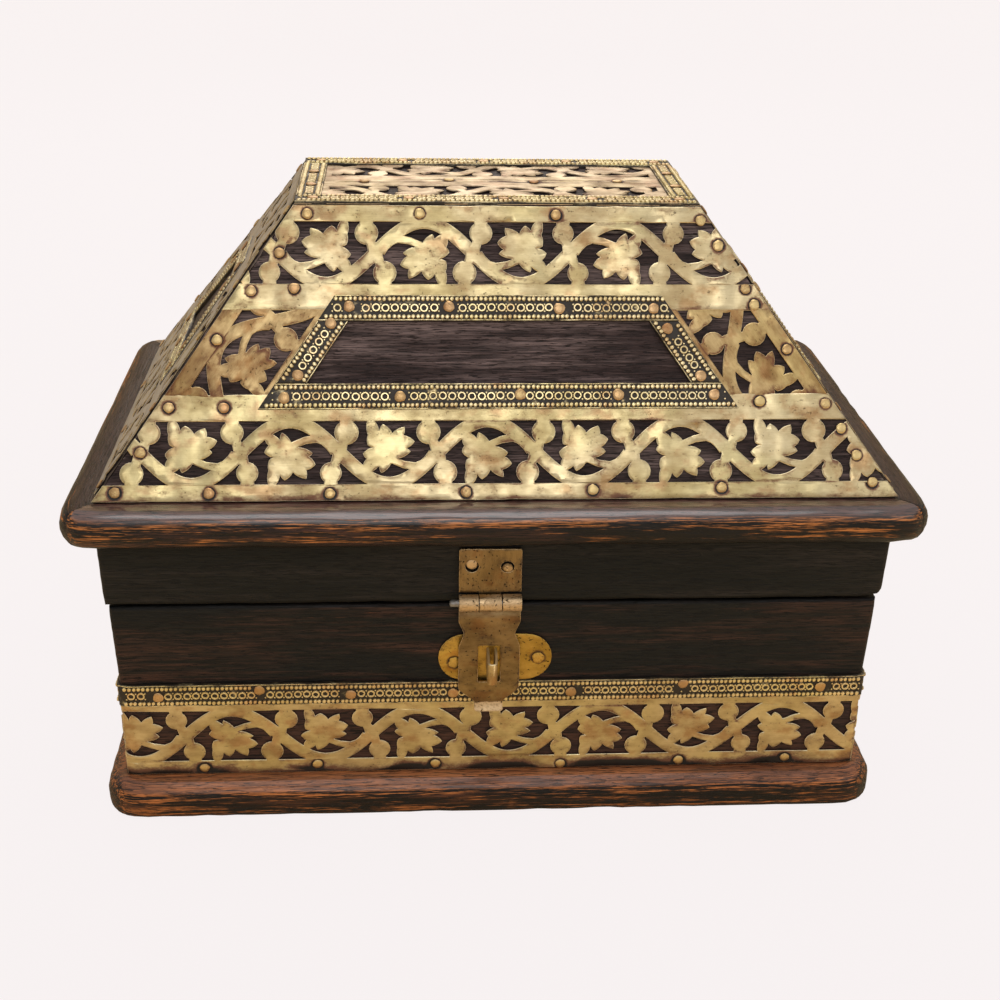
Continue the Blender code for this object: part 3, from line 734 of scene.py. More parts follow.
class Shape:
    """The mesh of one piece while it is being built."""

    def __init__(self) -> None:
        """Starts with nothing in it."""
        self.points: list[Array] = []
        self.faces: Faces = []
        self.lay: list[Array] = []
        self.wear: list[Array] = []
        self.grime: list[Array] = []
        self.count = 0

    def add(
        self, points: Array, faces: Iterable[Sequence[int]], lay: Array, wear: Array, grime: Array
    ) -> None:
        """Adds a closed form.

        Args:
            points: Corners, in metres.
            faces: Corner numbers of each face.
            lay: Each corner's place on the stock, in millimetres, with the length first.
            wear: How rubbed each corner is, from 0 to 1; on some pieces it paints a highlight.
            grime: How much soiling and painted shade each corner carries, from 0 to 1.
        """
        self.points.append(points)
        self.faces.extend(tuple(corner + self.count for corner in face) for face in faces)
        self.lay.append(lay)
        self.wear.append(wear)
        self.grime.append(grime)
        self.count += len(points)

    def add_copies(self, template: Template, place: Place, spots: Array, turns: Array) -> None:
        """Adds copies of a small shape.

        Args:
            template: The shape.
            place: Takes flat points to the frame.
            spots: Where the copies go: u, v and w of each.
            turns: How far each is turned about the way out, in radians.
        """
        if not len(spots):
            return
        foot = place(spots)
        ups = (place(spots + (0.0, 0.05, 0.0)) - foot) / 0.05
        outs = (place(spots + (0.0, 0.0, 0.05)) - foot) / 0.05
        alongs = np.cross(ups, outs) / MM
        cos, sin = np.cos(turns)[:, None], np.sin(turns)[:, None]
        first = alongs * cos + ups * sin
        second = ups * cos - alongs * sin
        local = template.points
        placed = foot[:, None, :] + local[None, :, 0:1] * first[:, None, :]
        placed = placed + local[None, :, 1:2] * second[:, None, :] + local[None, :, 2:3] * outs[:, None, :]
        size = len(local)
        faces = []
        for copy in range(len(spots)):
            faces.extend(tuple(corner + copy * size for corner in face) for face in template.faces)
        lay = (spots[:, None, :] + local[None, :, :]).reshape(-1, 3)
        wear = np.tile(template.wear, len(spots))
        grime = np.tile(template.grime, len(spots))
        self.add(placed.reshape(-1, 3), faces, lay, wear, grime)

    def build(
        self,
        name: str,
        body: str,
        finish: Finish,
        stock: Stock,
        nodes: Sequence[str] = (),
        angle: float = 38.0,
    ) -> bpy.types.Object:
        """Makes the piece.

        Args:
            name: Its name.
            body: The body that it rides on.
            finish: Its finish.
            stock: Its material slot in the record. Not used.
            nodes: The model's nodes that it stands for.
            angle: Edges sharper than this, in degrees, stay sharp.

        Returns:
            The piece.
        """
        mesh = bpy.data.meshes.new(name)
        mesh.from_pydata(np.concatenate(self.points).tolist(), [], self.faces)
        mesh.update()
        for label, values in (("wear", self.wear), ("grime", self.grime)):
            data = mesh.attributes.new(label, "FLOAT", "POINT").data
            data.foreach_set("value", np.concatenate(values).astype(np.float32))
        data = mesh.attributes.new("lay", "FLOAT_VECTOR", "POINT").data
        data.foreach_set("vector", np.concatenate(self.lay).astype(np.float32).ravel())
        mesh.shade_smooth()
        mesh.set_sharp_from_angle(angle=math.radians(angle))
        mesh.materials.append(finish.material())
        piece = bpy.data.objects.new(name, mesh)
        bpy.context.scene.collection.objects.link(piece)
        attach(piece, body)
        if nodes:
            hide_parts(*nodes)
        log.info("%s: %d faces", name, len(mesh.polygons))
        return piece


def wobble(points: Array, size: float, seed: float) -> Array:
    """Smooth noise at flat points, about -1 to 1, with features of a size in millimetres."""
    return np.array([noise.noise((u / size + seed, v / size, seed * 1.7)) for u, v in points[:, :2]])


def signed_area(outline: Outline) -> float:
    """Measures an outline's area.

    Args:
        outline: The outline.

    Returns:
        The area, negative if it runs clockwise.
    """
    points = np.array(outline)
    after = np.roll(points, -1, axis=0)
    return float(np.sum(points[:, 0] * after[:, 1] - after[:, 0] * points[:, 1])) / 2


def inside(outline: Outline, points: Array) -> Array:
    """Tells which points lie inside an outline.

    Args:
        outline: The outline.
        points: Points to test.

    Returns:
        True for each point inside.
    """
    result = np.zeros(len(points), bool)
    corners = np.array(outline)
    for (u0, v0), (u1, v1) in zip(corners, np.roll(corners, -1, axis=0), strict=True):
        if v0 == v1:
            continue
        crosses = (v0 > points[:, 1]) != (v1 > points[:, 1])
        reach = u0 + (points[:, 1] - v0) * (u1 - u0) / (v1 - v0)
        result ^= crosses & (points[:, 0] < reach)
    return result


def hand_cut(outline: Outline, step: float, amount: float, seed: float) -> Outline:
    """Gives straight edges the waver of hand shears.

    Args:
        outline: The outline to follow.
        step: Distance between points along an edge, in millimetres.
        amount: How far the cut strays, in millimetres.
        seed: Which part of the noise to take.

    Returns:
        The wavering outline.
    """
    cut: Outline = []
    for (u0, v0), (u1, v1) in zip(outline, outline[1:] + outline[:1], strict=True):
        count = max(1, round(math.hypot(u1 - u0, v1 - v0) / step))
        for index in range(count):
            u = u0 + (u1 - u0) * index / count
            v = v0 + (v1 - v0) * index / count
            stray = amount * noise.noise((u / 17, v / 17, seed))
            stray += 0.5 * amount * noise.noise((u / 6, v / 6, seed))
            cut.append((u + stray * 0.6, v + stray))
    return cut


def disc(centre: Point, radius: float, count: int = 18, squash: float = 1.0) -> Outline:
    """A round outline."""
    angles = [2 * math.pi * index / count for index in range(count)]
    return [(centre[0] + radius * math.cos(a), centre[1] + squash * radius * math.sin(a)) for a in angles]


def ribbon(path: Sequence[Point], widths: Sequence[float]) -> Outline:
    """A band along a path.

    Args:
        path: Points of its middle line.
        widths: Its width at each point.

    Returns:
        The band's outline.
    """
    middle = np.array(path)
    way = np.gradient(middle, axis=0)
    square = np.stack([-way[:, 1], way[:, 0]], axis=1) / np.linalg.norm(way, axis=1)[:, None]
    half = np.array(widths)[:, None] / 2
    edges = np.concatenate([middle + square * half, (middle - square * half)[::-1]])
    return [(float(u), float(v)) for u, v in edges]


@dataclass
class Sheet:
    """Sheet metal cut to an outline: only the solids are kept, if there are any, and holes are cut out."""

    outline: Outline
    solids: list[Outline] = field(default_factory=list)
    holes: list[Outline] = field(default_factory=list)
    nails: list[Point] = field(default_factory=list)
    back: float = 0.25
    thickness: float = 0.6
    spacing: float = 2.6
    dents: float = 0.24
    chamfer: float = 0.3
    soil: float = 0.0
    # How much painted shade the sheet's back takes.
    back_grime: float = 1.0
    polish: tuple[float, float] = (-1000.0, 1000.0)
    seed: float = 0.0
    spin: float = 0.0

    NAIL_RINGS = ((1.6, 12), (2.0, 14), (2.5, 14), (3.1, 14), (4.3, 12))
    ROW_SHARE = 0.87
    DEEPEST_DENT = -0.22

    def cut(self) -> tuple[Array, Array]:
        """Cuts the sheet into triangles.

        Returns:
            Its flat points, and the corner numbers of its triangles.
        """
        polygons = [self.outline, *self.solids, *self.holes]
        points: list[Point] = []
        loops: list[list[int]] = []
        for polygon in polygons:
            ordered = polygon if signed_area(polygon) > 0 else polygon[::-1]
            loops.append(list(range(len(points), len(points) + len(ordered))))
            points.extend(ordered)
        points.extend(self.loose_points())
        corners = [Vector(point) for point in points]
        flat, _, triangles, _, _, owners = delaunay_2d_cdt(corners, [], loops, 1, 1e-4, True)
        kept = []
        last_solid = len(self.solids)
        for triangle, owner in zip(triangles, owners, strict=True):
            solid = not self.solids or any(1 <= number <= last_solid for number in owner)
            if 0 in owner and solid and not any(number > last_solid for number in owner):
                kept.append(triangle)
        used = np.unique(np.array(kept))
        renumber = np.zeros(len(flat), int)
        renumber[used] = np.arange(len(used))
        return np.array([tuple(p) for p in flat])[used], renumber[np.array(kept)]

    def loose_points(self) -> list[Point]:
        """Spreads points over the sheet, and rings of them round its nails, so that it can be dented.

        Returns:
            The points inside the outline.
        """
        corners = np.array(self.outline)
        low, high = corners.min(axis=0), corners.max(axis=0)
        chance = random.Random(round(self.seed * 1000))
        spots = []
        rows = int((high[1] - low[1]) / (self.spacing * self.ROW_SHARE))
        columns = int((high[0] - low[0]) / self.spacing)
        for row in range(1, rows + 1):
            for column in range(columns + 1):
                u = low[0] + (column + 0.5 * (row % 2)) * self.spacing + chance.uniform(-0.3, 0.3)
                v = low[1] + row * self.spacing * self.ROW_SHARE + chance.uniform(-0.3, 0.3)
                spots.append((u, v))
        for nail in self.nails:
            for radius, count in self.NAIL_RINGS:
                spots.extend(disc(nail, radius, count))
        if not spots:
            return []
        kept = inside(self.outline, np.array(spots))
        return [spot for spot, keep in zip(spots, kept, strict=True) if keep]

    def laid(self, place: Place) -> Shape:
        """Lays the sheet, with chamfered edges that are worn bright and painted as a highlight, on a face.

        Args:
            place: Takes flat points to the frame.

        Returns:
            The sheet as a shape of its own.
        """
        flat, triangles = self.cut()
        count = len(flat)
        edges: dict[tuple[int, int], int] = {}
        for a, b, c in triangles.tolist():
            for pair in ((a, b), (b, c), (c, a)):
                edges[pair] = edges.get(pair, 0) + 1
        rim = [pair for pair in edges if pair[::-1] not in edges]
        push = np.zeros((count, 2))
        for a, b in rim:
            way = flat[b] - flat[a]
            outward = np.array([way[1], -way[0]]) / max(np.linalg.norm(way), 1e-9)
            push[a] += outward
            push[b] += outward
        length = np.linalg.norm(push, axis=1)
        push[length > 0] /= length[length > 0][:, None]
        near = np.full(count, 99.0)
        ring = np.zeros(count)
        # Painted shade with some soiling: a dark ring round each nail, for the shade in the gap round its
        # head.
        for u, v in self.nails:
            away = np.hypot(flat[:, 0] - u, flat[:, 1] - v)
            near = np.minimum(near, away)
            reach = 2.5 + 0.5 * noise.noise((u / 3, v / 3, 2.0))
            ring = np.maximum(ring, np.exp(-((away / reach) ** 7)))
        creases = np.abs(wobble(flat * (1.0, 0.16), 12.0, self.seed + 8.3)) * (self.dents > 0.25)
        dents = wobble(flat, 14.0, self.seed) + 0.35 * wobble(flat, 5.0, self.seed + 3.1) - creases
        dents = np.maximum(self.dents * dents, self.DEEPEST_DENT)
        top = self.back + self.thickness + dents - 0.25 * np.exp(-((near / 3.0) ** 2))
        tops = np.column_stack([flat - push * self.chamfer, top])
        rims = np.column_stack([flat, top - self.chamfer * 0.55])
        backs = np.column_stack([flat, np.full(count, self.back)])
        walls = []
        for a, b in rim:
            walls.append((b, a, a + count, b + count))
            walls.append((b + count, a + count, a + 2 * count, b + 2 * count))
        faces = [*triangles.tolist(), *walls, *(triangles[:, ::-1] + 2 * count).tolist()]
        points = np.concatenate([tops, rims, backs])
        placed = place(points)
        first = triangles[0]
        side = np.cross(placed[first[1]] - placed[first[0]], placed[first[2]] - placed[first[0]])
        out = place(tops[first[:1]] + (0.0, 0.0, 0.1))[0] - placed[first[0]]
        if side @ out < 0:
            faces = [face[::-1] for face in faces]
        ring = ring * (1.0 + 0.4 * wobble(flat, 2.5, self.seed + 7.7))
        patches = np.clip(0.55 + 1.3 * wobble(flat, 16.0, self.seed + 5.2), 0.0, 1.3)
        foot = self.soil * patches * np.exp(-(((flat[:, 1] - flat[:, 1].min()) / 3.0) ** 2))
        edge = np.zeros(count)
        edge[length > 0] = 1.0
        # Darker in patches along the cut edges.
        darkening = 0.5 * edge * np.clip(0.35 + 1.2 * wobble(flat, 11.0, self.seed + 1.4), 0.0, 1.0)
        grime = np.clip(ring + foot + darkening, 0.0, 1.0)
        rubbed = 0.8 * ((flat[:, 1] < self.polish[0]) | (flat[:, 1] > self.polish[1]))
        # The chamfered rims are marked worn: a real burnish and a painted highlight along the cut edges.
        wear = np.concatenate([np.maximum(edge * 0.3, rubbed), np.maximum(edge * 0.8, rubbed), rubbed])
        cos, sin = math.cos(self.spin), math.sin(self.spin)
        turn = np.array([[cos, sin], [-sin, cos]])
        lay = points.copy()
        lay[:, :2] = points[:, :2] @ turn.T
        lay[:, 2] += 40.0 * self.seed
        shape = Shape()
        # The backs take painted shade, which also darkens the cut walls down to them.
        dirt_and_shade = np.concatenate([grime, grime * 0.5, np.full(count, self.back_grime)])
        shape.add(placed, faces, lay, wear, dirt_and_shade)
        return shape


def ring_faces(rings: int, count: int) -> Faces:
    """Faces between rings of points that follow each other, with as many points to each ring as said."""
    steps = [(ring * count, i, (i + 1) % count) for ring in range(rings - 1) for i in range(count)]
    return [(foot + a, foot + b, foot + b + count, foot + a + count) for foot, a, b in steps]


def domed(radii: Point, levels: Sequence[Point], count: int, stray: float, seed: int) -> Template:
    """A domed head, such as a bead or a nail.

    Args:
        radii: Its radius along and across, in millimetres.
        levels: Share of the radius and height of each ring, from the foot up; the last is the top's.
        count: Points to a ring.
        stray: How irregular its outline is, as a share.
        seed: Which irregular outline.

    Returns:
        The head.
    """
    chance = random.Random(seed)
    lobes = [1 + stray * chance.uniform(-1, 1) for _ in range(count)]
    tilt = (stray * chance.uniform(-1, 1), stray * chance.uniform(-1, 1))
    points = []
    for share, height in levels[:-1]:
        for index in range(count):
            angle = 2 * math.pi * index / count
            u = radii[0] * share * lobes[index] * math.cos(angle)
            v = radii[1] * share * lobes[index] * math.sin(angle)
            points.append((u, v, height + (u * tilt[0] + v * tilt[1]) * (height > 0)))
    points.append((0.0, 0.0, levels[-1][1]))
    faces = ring_faces(len(levels) - 1, count)
    last = (len(levels) - 2) * count
    faces.extend((last + i, last + (i + 1) % count, len(points) - 1) for i in range(count))
    array = np.array(points)
    # Painted shade: the head darkens towards its foot, and its top is marked rubbed.
    rise = np.clip(array[:, 2] / levels[-1][1], 0.0, 1.0)
    return Template(array, faces, 0.6 * rise, np.clip(0.9 - 1.6 * rise, 0.0, 1.0))


def sunken(place: Place, depth: float) -> Place:
    """Lowers all that a function lays on a face, by a depth in millimetres."""
    return lambda points: place(points - (0.0, 0.0, depth))


def small_ring(radius: float, tube: float, count: int, sides: int) -> Template:
    """A ring lying flat.

    Args:
        radius: Radius of its middle line, in millimetres.
        tube: Radius of its section, in millimetres.
        count: Steps round the ring.
        sides: Steps round its section.

    Returns:
        The ring.
    """
    points = []
    faces: Faces = []
    for step in range(count):
        angle = 2 * math.pi * step / count
        for part in range(sides):
            turn = 2 * math.pi * part / sides
            reach = radius + tube * math.cos(turn)
            points.append((reach * math.cos(angle), reach * math.sin(angle), tube * math.sin(turn)))
            here, after, beside = step * sides, (step + 1) % count * sides, (part + 1) % sides
            faces.append((here + part, after + part, after + beside, here + beside))
    array = np.array(points)
    # Painted shade: the ring darkens towards its foot, and its top is marked rubbed.
    rise = (array[:, 2] / tube + 1) / 2
    return Template(array, faces, 0.6 * rise, np.clip(0.9 - 1.5 * rise, 0.0, 1.0))


NAIL_LEVELS = ((1.0, -0.4), (1.0, 0.28), (0.88, 0.42), (0.5, 0.51), (0.0, 0.54))
NAIL_HEADS = [domed((1.0, 1.0), NAIL_LEVELS, 13, 0.08, seed) for seed in range(6)]
BAND_NAIL = (1.7, 0.7)
EDGING_NAIL = (1.8, 1.4)


@dataclass
class Nails:
    """A set of hand-made nails with flat, slightly uneven heads.

    Each of its rows has the nails' spots, the radius of their heads and the height of the metal under them.
    """

    name: str
    body: str
    place: Place
    rows: Sequence[tuple[Sequence[Point], float, float]]
    finish: MetalFinish = NAIL_BRASS
    stock: Stock = Stock.PIERCED

    def build(self) -> None:
        """Makes the piece."""
        shape = Shape()
        for spots, radius, level in self.rows:
            for number, (u, v) in enumerate(spots):
                head = NAIL_HEADS[(number * 5 + round(abs(u) * 3)) % len(NAIL_HEADS)]
                size = radius * (1 + 0.06 * noise.noise((u, v, 5.0)))
                golden = (0.1 if level < 1 else -0.3) + 0.8 * noise.noise((u * 1.3, v * 1.7, 9.0))
                wear = np.clip(head.wear + golden, 0.0, 1.0)
                scaled = replace(head, points=head.points * (size, size, 1.0), wear=wear)
                shape.add_copies(scaled, self.place, np.array([(u, v, level)]), np.array([u * 1.7 + v]))
        shape.build(self.name, self.body, self.finish, self.stock)


@dataclass(frozen=True)
class Vine:
    """The running vine of the pierced strip: a wave with a leaf in each bend and buds between the bends."""

    strip: float = 34.0
    low_rail: float = 5.3
    opening: float = 20.2
    bend: float = 31.4
    rise: float = 10.0
    stem: float = 4.3
    bud: float = 3.7
    swell: float = 0.09

    LEAF_FOOT = slice(11, 13)
    LEAF = (
        (-2.6, 6.4), (0.65, 3.5), (2.7, 1.9), (6.95, 0.0), (5.65, -1.3), (8.0, -3.7), (4.9, -5.5),
        (4.85, -8.1), (0.8, -6.1), (-1.6, -8.8), (-3.3, -7.1), (-5.0, -10.5), (-6.9, -10.5), (-6.95, -5.8),
        (-6.95, -2.5), (-5.2, -1.8), (-8.3, 0.3), (-7.0, 2.0), (-8.0, 4.4), (-7.3, 6.6), (-3.4, 4.5),
    )

    @property
    def overturned(self) -> Vine:
        """The same strip with its wide rail below."""
        return replace(self, low_rail=self.strip - self.low_rail - self.opening)

    def leaf(self, stray: random.Random) -> Outline:
        """Draws one leaf, with swelling sides.

        Args:
            stray: Gives it its irregularities.

        Returns:
            Its outline, about the middle of a bend.
        """
        points = [(u + stray.uniform(-0.35, 0.35), v + stray.uniform(-0.3, 0.3)) for u, v in self.LEAF]
        points[self.LEAF_FOOT] = self.LEAF[self.LEAF_FOOT]
        drawn: Outline = []
        for (u0, v0), (u1, v1) in zip(points, points[1:] + points[:1], strict=True):
            for part in (0.0, 0.25, 0.5, 0.75):
                out = 4 * part * (1 - part) * self.swell
                u = u0 + (u1 - u0) * part - out * (v1 - v0)
                drawn.append((u, v0 + (v1 - v0) * part + out * (u1 - u0)))
        return drawn

    def bend_shapes(self, stray: random.Random) -> list[Outline]:
        """Draws what hangs on one upward bend.

        Args:
            stray: Gives it its irregularities.

        Returns:
            The leaf, its stalk and the buds at the left, about the middle of the bend.
        """
        limit = self.opening / 2
        stalk = [(14.2, 0.6), (11.6, 3.6), (8.4, 4.6), (4.6, 3.9), (0.6, 2.3)]
        shapes = [self.leaf(stray), ribbon(stalk, (3.8, 3.2, 2.7, 2.3, 2.1))]
        cross = -self.bend / 2
        for u, v, rail in ((cross - 3.0, 6.5, limit), (cross + 2.4, -6.4, -limit)):
            u += stray.uniform(-0.4, 0.4)
            shapes.append(disc((u, v), self.bud * stray.uniform(0.93, 1.06)))
            shapes.append(ribbon([(u, v), (u, (v + rail) / 2), (u, rail * 1.06)], (5.2, 3.9, 4.6)))
            shapes.append(ribbon([(cross, 0.0), ((cross + u) / 2, v * 0.5), (u, v)], (4.2, 3.0, 4.0)))
        return shapes

    def shapes(
        self, start: float, end: float, crest: float, seed: int, mirrored: bool = False
    ) -> list[Outline]:
        """Draws a length of strip.

        Args:
            start: Where it starts, in millimetres along the strip.
            end: Where it ends.
            crest: Where one of its upward bends is.
            seed: Which irregularities it has.
            mirrored: True if it runs from right to left.

        Returns:
            The outlines that are left standing, from the strip's lower edge up.
        """
        if mirrored:
            flipped = self.shapes(-end, -start, -crest, seed)
            return [[(-u, v) for u, v in outline] for outline in flipped]
        stray = random.Random(seed)
        middle = self.low_rail + self.opening / 2
        high = self.low_rail + self.opening
        drawn = [
            [(start, 0.0), (end, 0.0), (end, self.low_rail), (start, self.low_rail)],
            [(start, high), (end, high), (end, self.strip), (start, self.strip)],
        ]
        steps = int((end - start) / 1.2)
        line = [start + (end - start) * step / steps for step in range(steps + 1)]
        path = [(u, middle + self.rise * math.cos((u - crest) * math.pi / self.bend)) for u in line]
        drawn.append(ribbon(path, [self.stem + 0.3 * noise.noise((u / 9, seed, 0.0)) for u in line]))
        first = math.floor((start - crest) / self.bend) - 1
        last = math.ceil((end - crest) / self.bend) + 1
        for number in range(first, last + 1):
            way = 1.0 if number % 2 == 0 else -1.0
            centre = crest + number * self.bend
            for outline in self.bend_shapes(stray):
                drawn.append([(centre + u, middle + way * v) for u, v in outline])
        return drawn


BEAD_LEVELS = ((1.0, -0.1), (0.98, 0.26), (0.74, 0.54), (0.0, 0.7))
BEADS = [domed((0.73, 0.84), BEAD_LEVELS, 9, 0.09, seed) for seed in range(3)]
DOT = domed((0.36, 0.36), ((1.0, -0.1), (0.8, 0.24), (0.0, 0.34)), 6, 0.1, 9)
SMALL_RING = small_ring(1.08, 0.36, 14, 6)


@dataclass
class BeadedStrip:
    """A length of edging with rolled edges, two rows of beads and small rings between them.

    It runs from the middle of its one end to that of the other, and is cut to an outline.
    """

    shape: Shape
    place: Place
    start: Point
    end: Point
    outline: Outline
    nails: Sequence[Point]
    seed: float

    WIDTH = 8.3
    BACK = 0.2
    FLOOR = 1.3
    BEAD_PITCH = 1.55
    RING_PITCH = 3.1
    ROLL = ((-0.24, 0.2), (-0.22, 1.3), (-0.1, 1.46), (0.1, 1.46), (0.22, 1.3), (0.24, 0.2))

    def __post_init__(self) -> None:
        """Works out the directions along and across the strip."""
        self.origin = np.array(self.start)
        way = np.array(self.end) - np.array(self.start)
        self.length = float(np.linalg.norm(way))
        self.way = way / self.length
        self.square = np.array([-self.way[1], self.way[0]])

    def lay(self) -> None:
        """Adds the strip to its piece."""
        self.add_floor()
        chance = random.Random(round(self.seed * 1000))
        for side in (-1.0, 1.0):
            self.add_edge(side * (self.WIDTH / 2 - 0.25))
            self.add_beads(side * (self.WIDTH / 2 - 1.3), chance)
        runs = np.arange(-2, int(self.length / self.RING_PITCH) + 4) * self.RING_PITCH + 0.4
        spots = self.kept(self.at(runs, 0.0) + self.strays(chance, len(runs), 0.15), 1.2, 1.4, 3.0)
        turns = np.array([chance.uniform(0, 6) for _ in spots])
        self.add_copies(SMALL_RING, spots, self.FLOOR + 0.12, turns)
        for rise in (-1.1, 1.1):
            spots = self.kept(self.at(runs + self.RING_PITCH / 2, rise), 0.5, 0.5, 2.4)
            self.add_copies(DOT, spots, self.FLOOR, np.zeros(len(spots)))

    def at(self, runs: Array, offset: float) -> Array:
        """Points at distances along the strip, all at one offset from its middle."""
        return self.origin + runs[:, None] * self.way + offset * self.square

    def strays(self, chance: random.Random, count: int, limit: float) -> Array:
        """Small random shifts, each along u and v."""
        shifts = [(chance.uniform(-limit, limit), chance.uniform(-limit, limit)) for _ in range(count)]
        return np.array(shifts)

    def kept(self, spots: Array, across: float, ahead: float, clear: float) -> Array:
        """Leaves out the spots that the strip's ends or its nails have no room for.

        Args:
            spots: Spots to choose from.
            across: Half the size needed across the strip.
            ahead: Half the size needed along it.
            clear: Room that a nail takes up, from its middle.

        Returns:
            The spots that are left.
        """
        good = np.ones(len(spots), bool)
        for offset in (self.square * across, -self.square * across, self.way * ahead, -self.way * ahead):
            good &= inside(self.outline, spots + offset)
        for nail in self.nails:
            good &= np.hypot(spots[:, 0] - nail[0], spots[:, 1] - nail[1]) > clear
        return spots[good]

    def add_copies(self, template: Template, spots: Array, level: float, turns: Array) -> None:
        """Adds copies of a small shape, all at one level."""
        levels = np.column_stack([spots, np.full(len(spots), level)])
        self.shape.add_copies(template, self.place, levels, turns)

    def add_floor(self) -> None:
        """Adds the floor between the beads, dark with tarnish and painted shade."""
        sizes = {"back": self.BACK, "thickness": self.FLOOR - self.BACK, "spacing": 1.7, "dents": 0.05}
        floor = Sheet(self.outline, **sizes, seed=self.seed)
        dark = floor.laid(self.place)
        lay = np.concatenate(dark.lay)
        # Tarnish and painted shade: the floor is darkened in patches.
        darkening = np.clip(0.95 + 0.5 * wobble(lay, 1.9, self.seed), 0.5, 1.0)
        self.shape.add(np.concatenate(dark.points), dark.faces, lay, darkening * 0, darkening)

    def add_beads(self, offset: float, chance: random.Random) -> None:
        """Adds one row of beads.

        Args:
            offset: Distance of the row from the strip's middle.
            chance: Gives the beads their irregular places.
        """
        count = int(self.length / self.BEAD_PITCH) + 8
        slips = np.array([chance.uniform(-0.1, 0.1) for _ in range(count + 4)])
        runs = np.arange(-4, count) * self.BEAD_PITCH + slips
        spots = self.kept(self.at(runs, offset) + self.strays(chance, len(runs), 0.08), 0.9, 0.6, 1.9)
        kinds = np.array([chance.randrange(len(BEADS)) for _ in spots])
        spin = math.atan2(self.way[1], self.way[0])
        for number, bead in enumerate(BEADS):
            chosen = spots[kinds == number]
            self.add_copies(bead, chosen, self.FLOOR, np.full(len(chosen), spin))

    def add_edge(self, offset: float) -> None:
        """Adds one rolled edge.

        Args:
            offset: Distance of the edge from the strip's middle.
        """
        runs = np.arange(-12.0, self.length + 12.0, 0.25)
        within = runs[inside(self.outline, self.at(runs, offset))]
        if len(within) < 2:
            return
        size = len(self.ROLL)
        points, faces = [], []
        steps = max(2, int((within[-1] - within[0]) / 2.2))
        for step, stop in enumerate(np.linspace(within[0], within[-1], steps + 1)):
            middle = self.origin + stop * self.way + offset * self.square
            stray = 0.1 * noise.noise((stop / 9, offset, self.seed))
            lift = 0.12 * noise.noise((stop / 7, offset, self.seed + 4))
            for across, height in self.ROLL:
                spot = middle + (across + stray) * self.square
                points.append((spot[0], spot[1], height + lift * (height > 1)))
            if step:
                starts = range((step - 1) * size, step * size - 1)
                faces.extend((a, a + size, a + size + 1, a + 1) for a in starts)
        faces.append(tuple(range(size)))
        faces.append(tuple(range(len(points) - 1, len(points) - size - 1, -1)))
        flat = np.array(points)
        rise = np.clip((flat[:, 2] - 1.2) / 0.4, 0.0, 1.0)
        placed = self.place(flat)
        side = np.cross(placed[3] - placed[2], placed[8] - placed[2])
        out = self.place(flat[2:3] + (0.0, 0.0, 0.1))[0] - placed[2]
        if side @ out > 0:
            faces = [face[::-1] for face in faces]
        # Painted shade: the rolled edge darkens towards its foot, and its top is marked slightly rubbed.
        self.shape.add(placed, faces, flat, 0.1 * rise, 0.8 - 0.35 * rise)


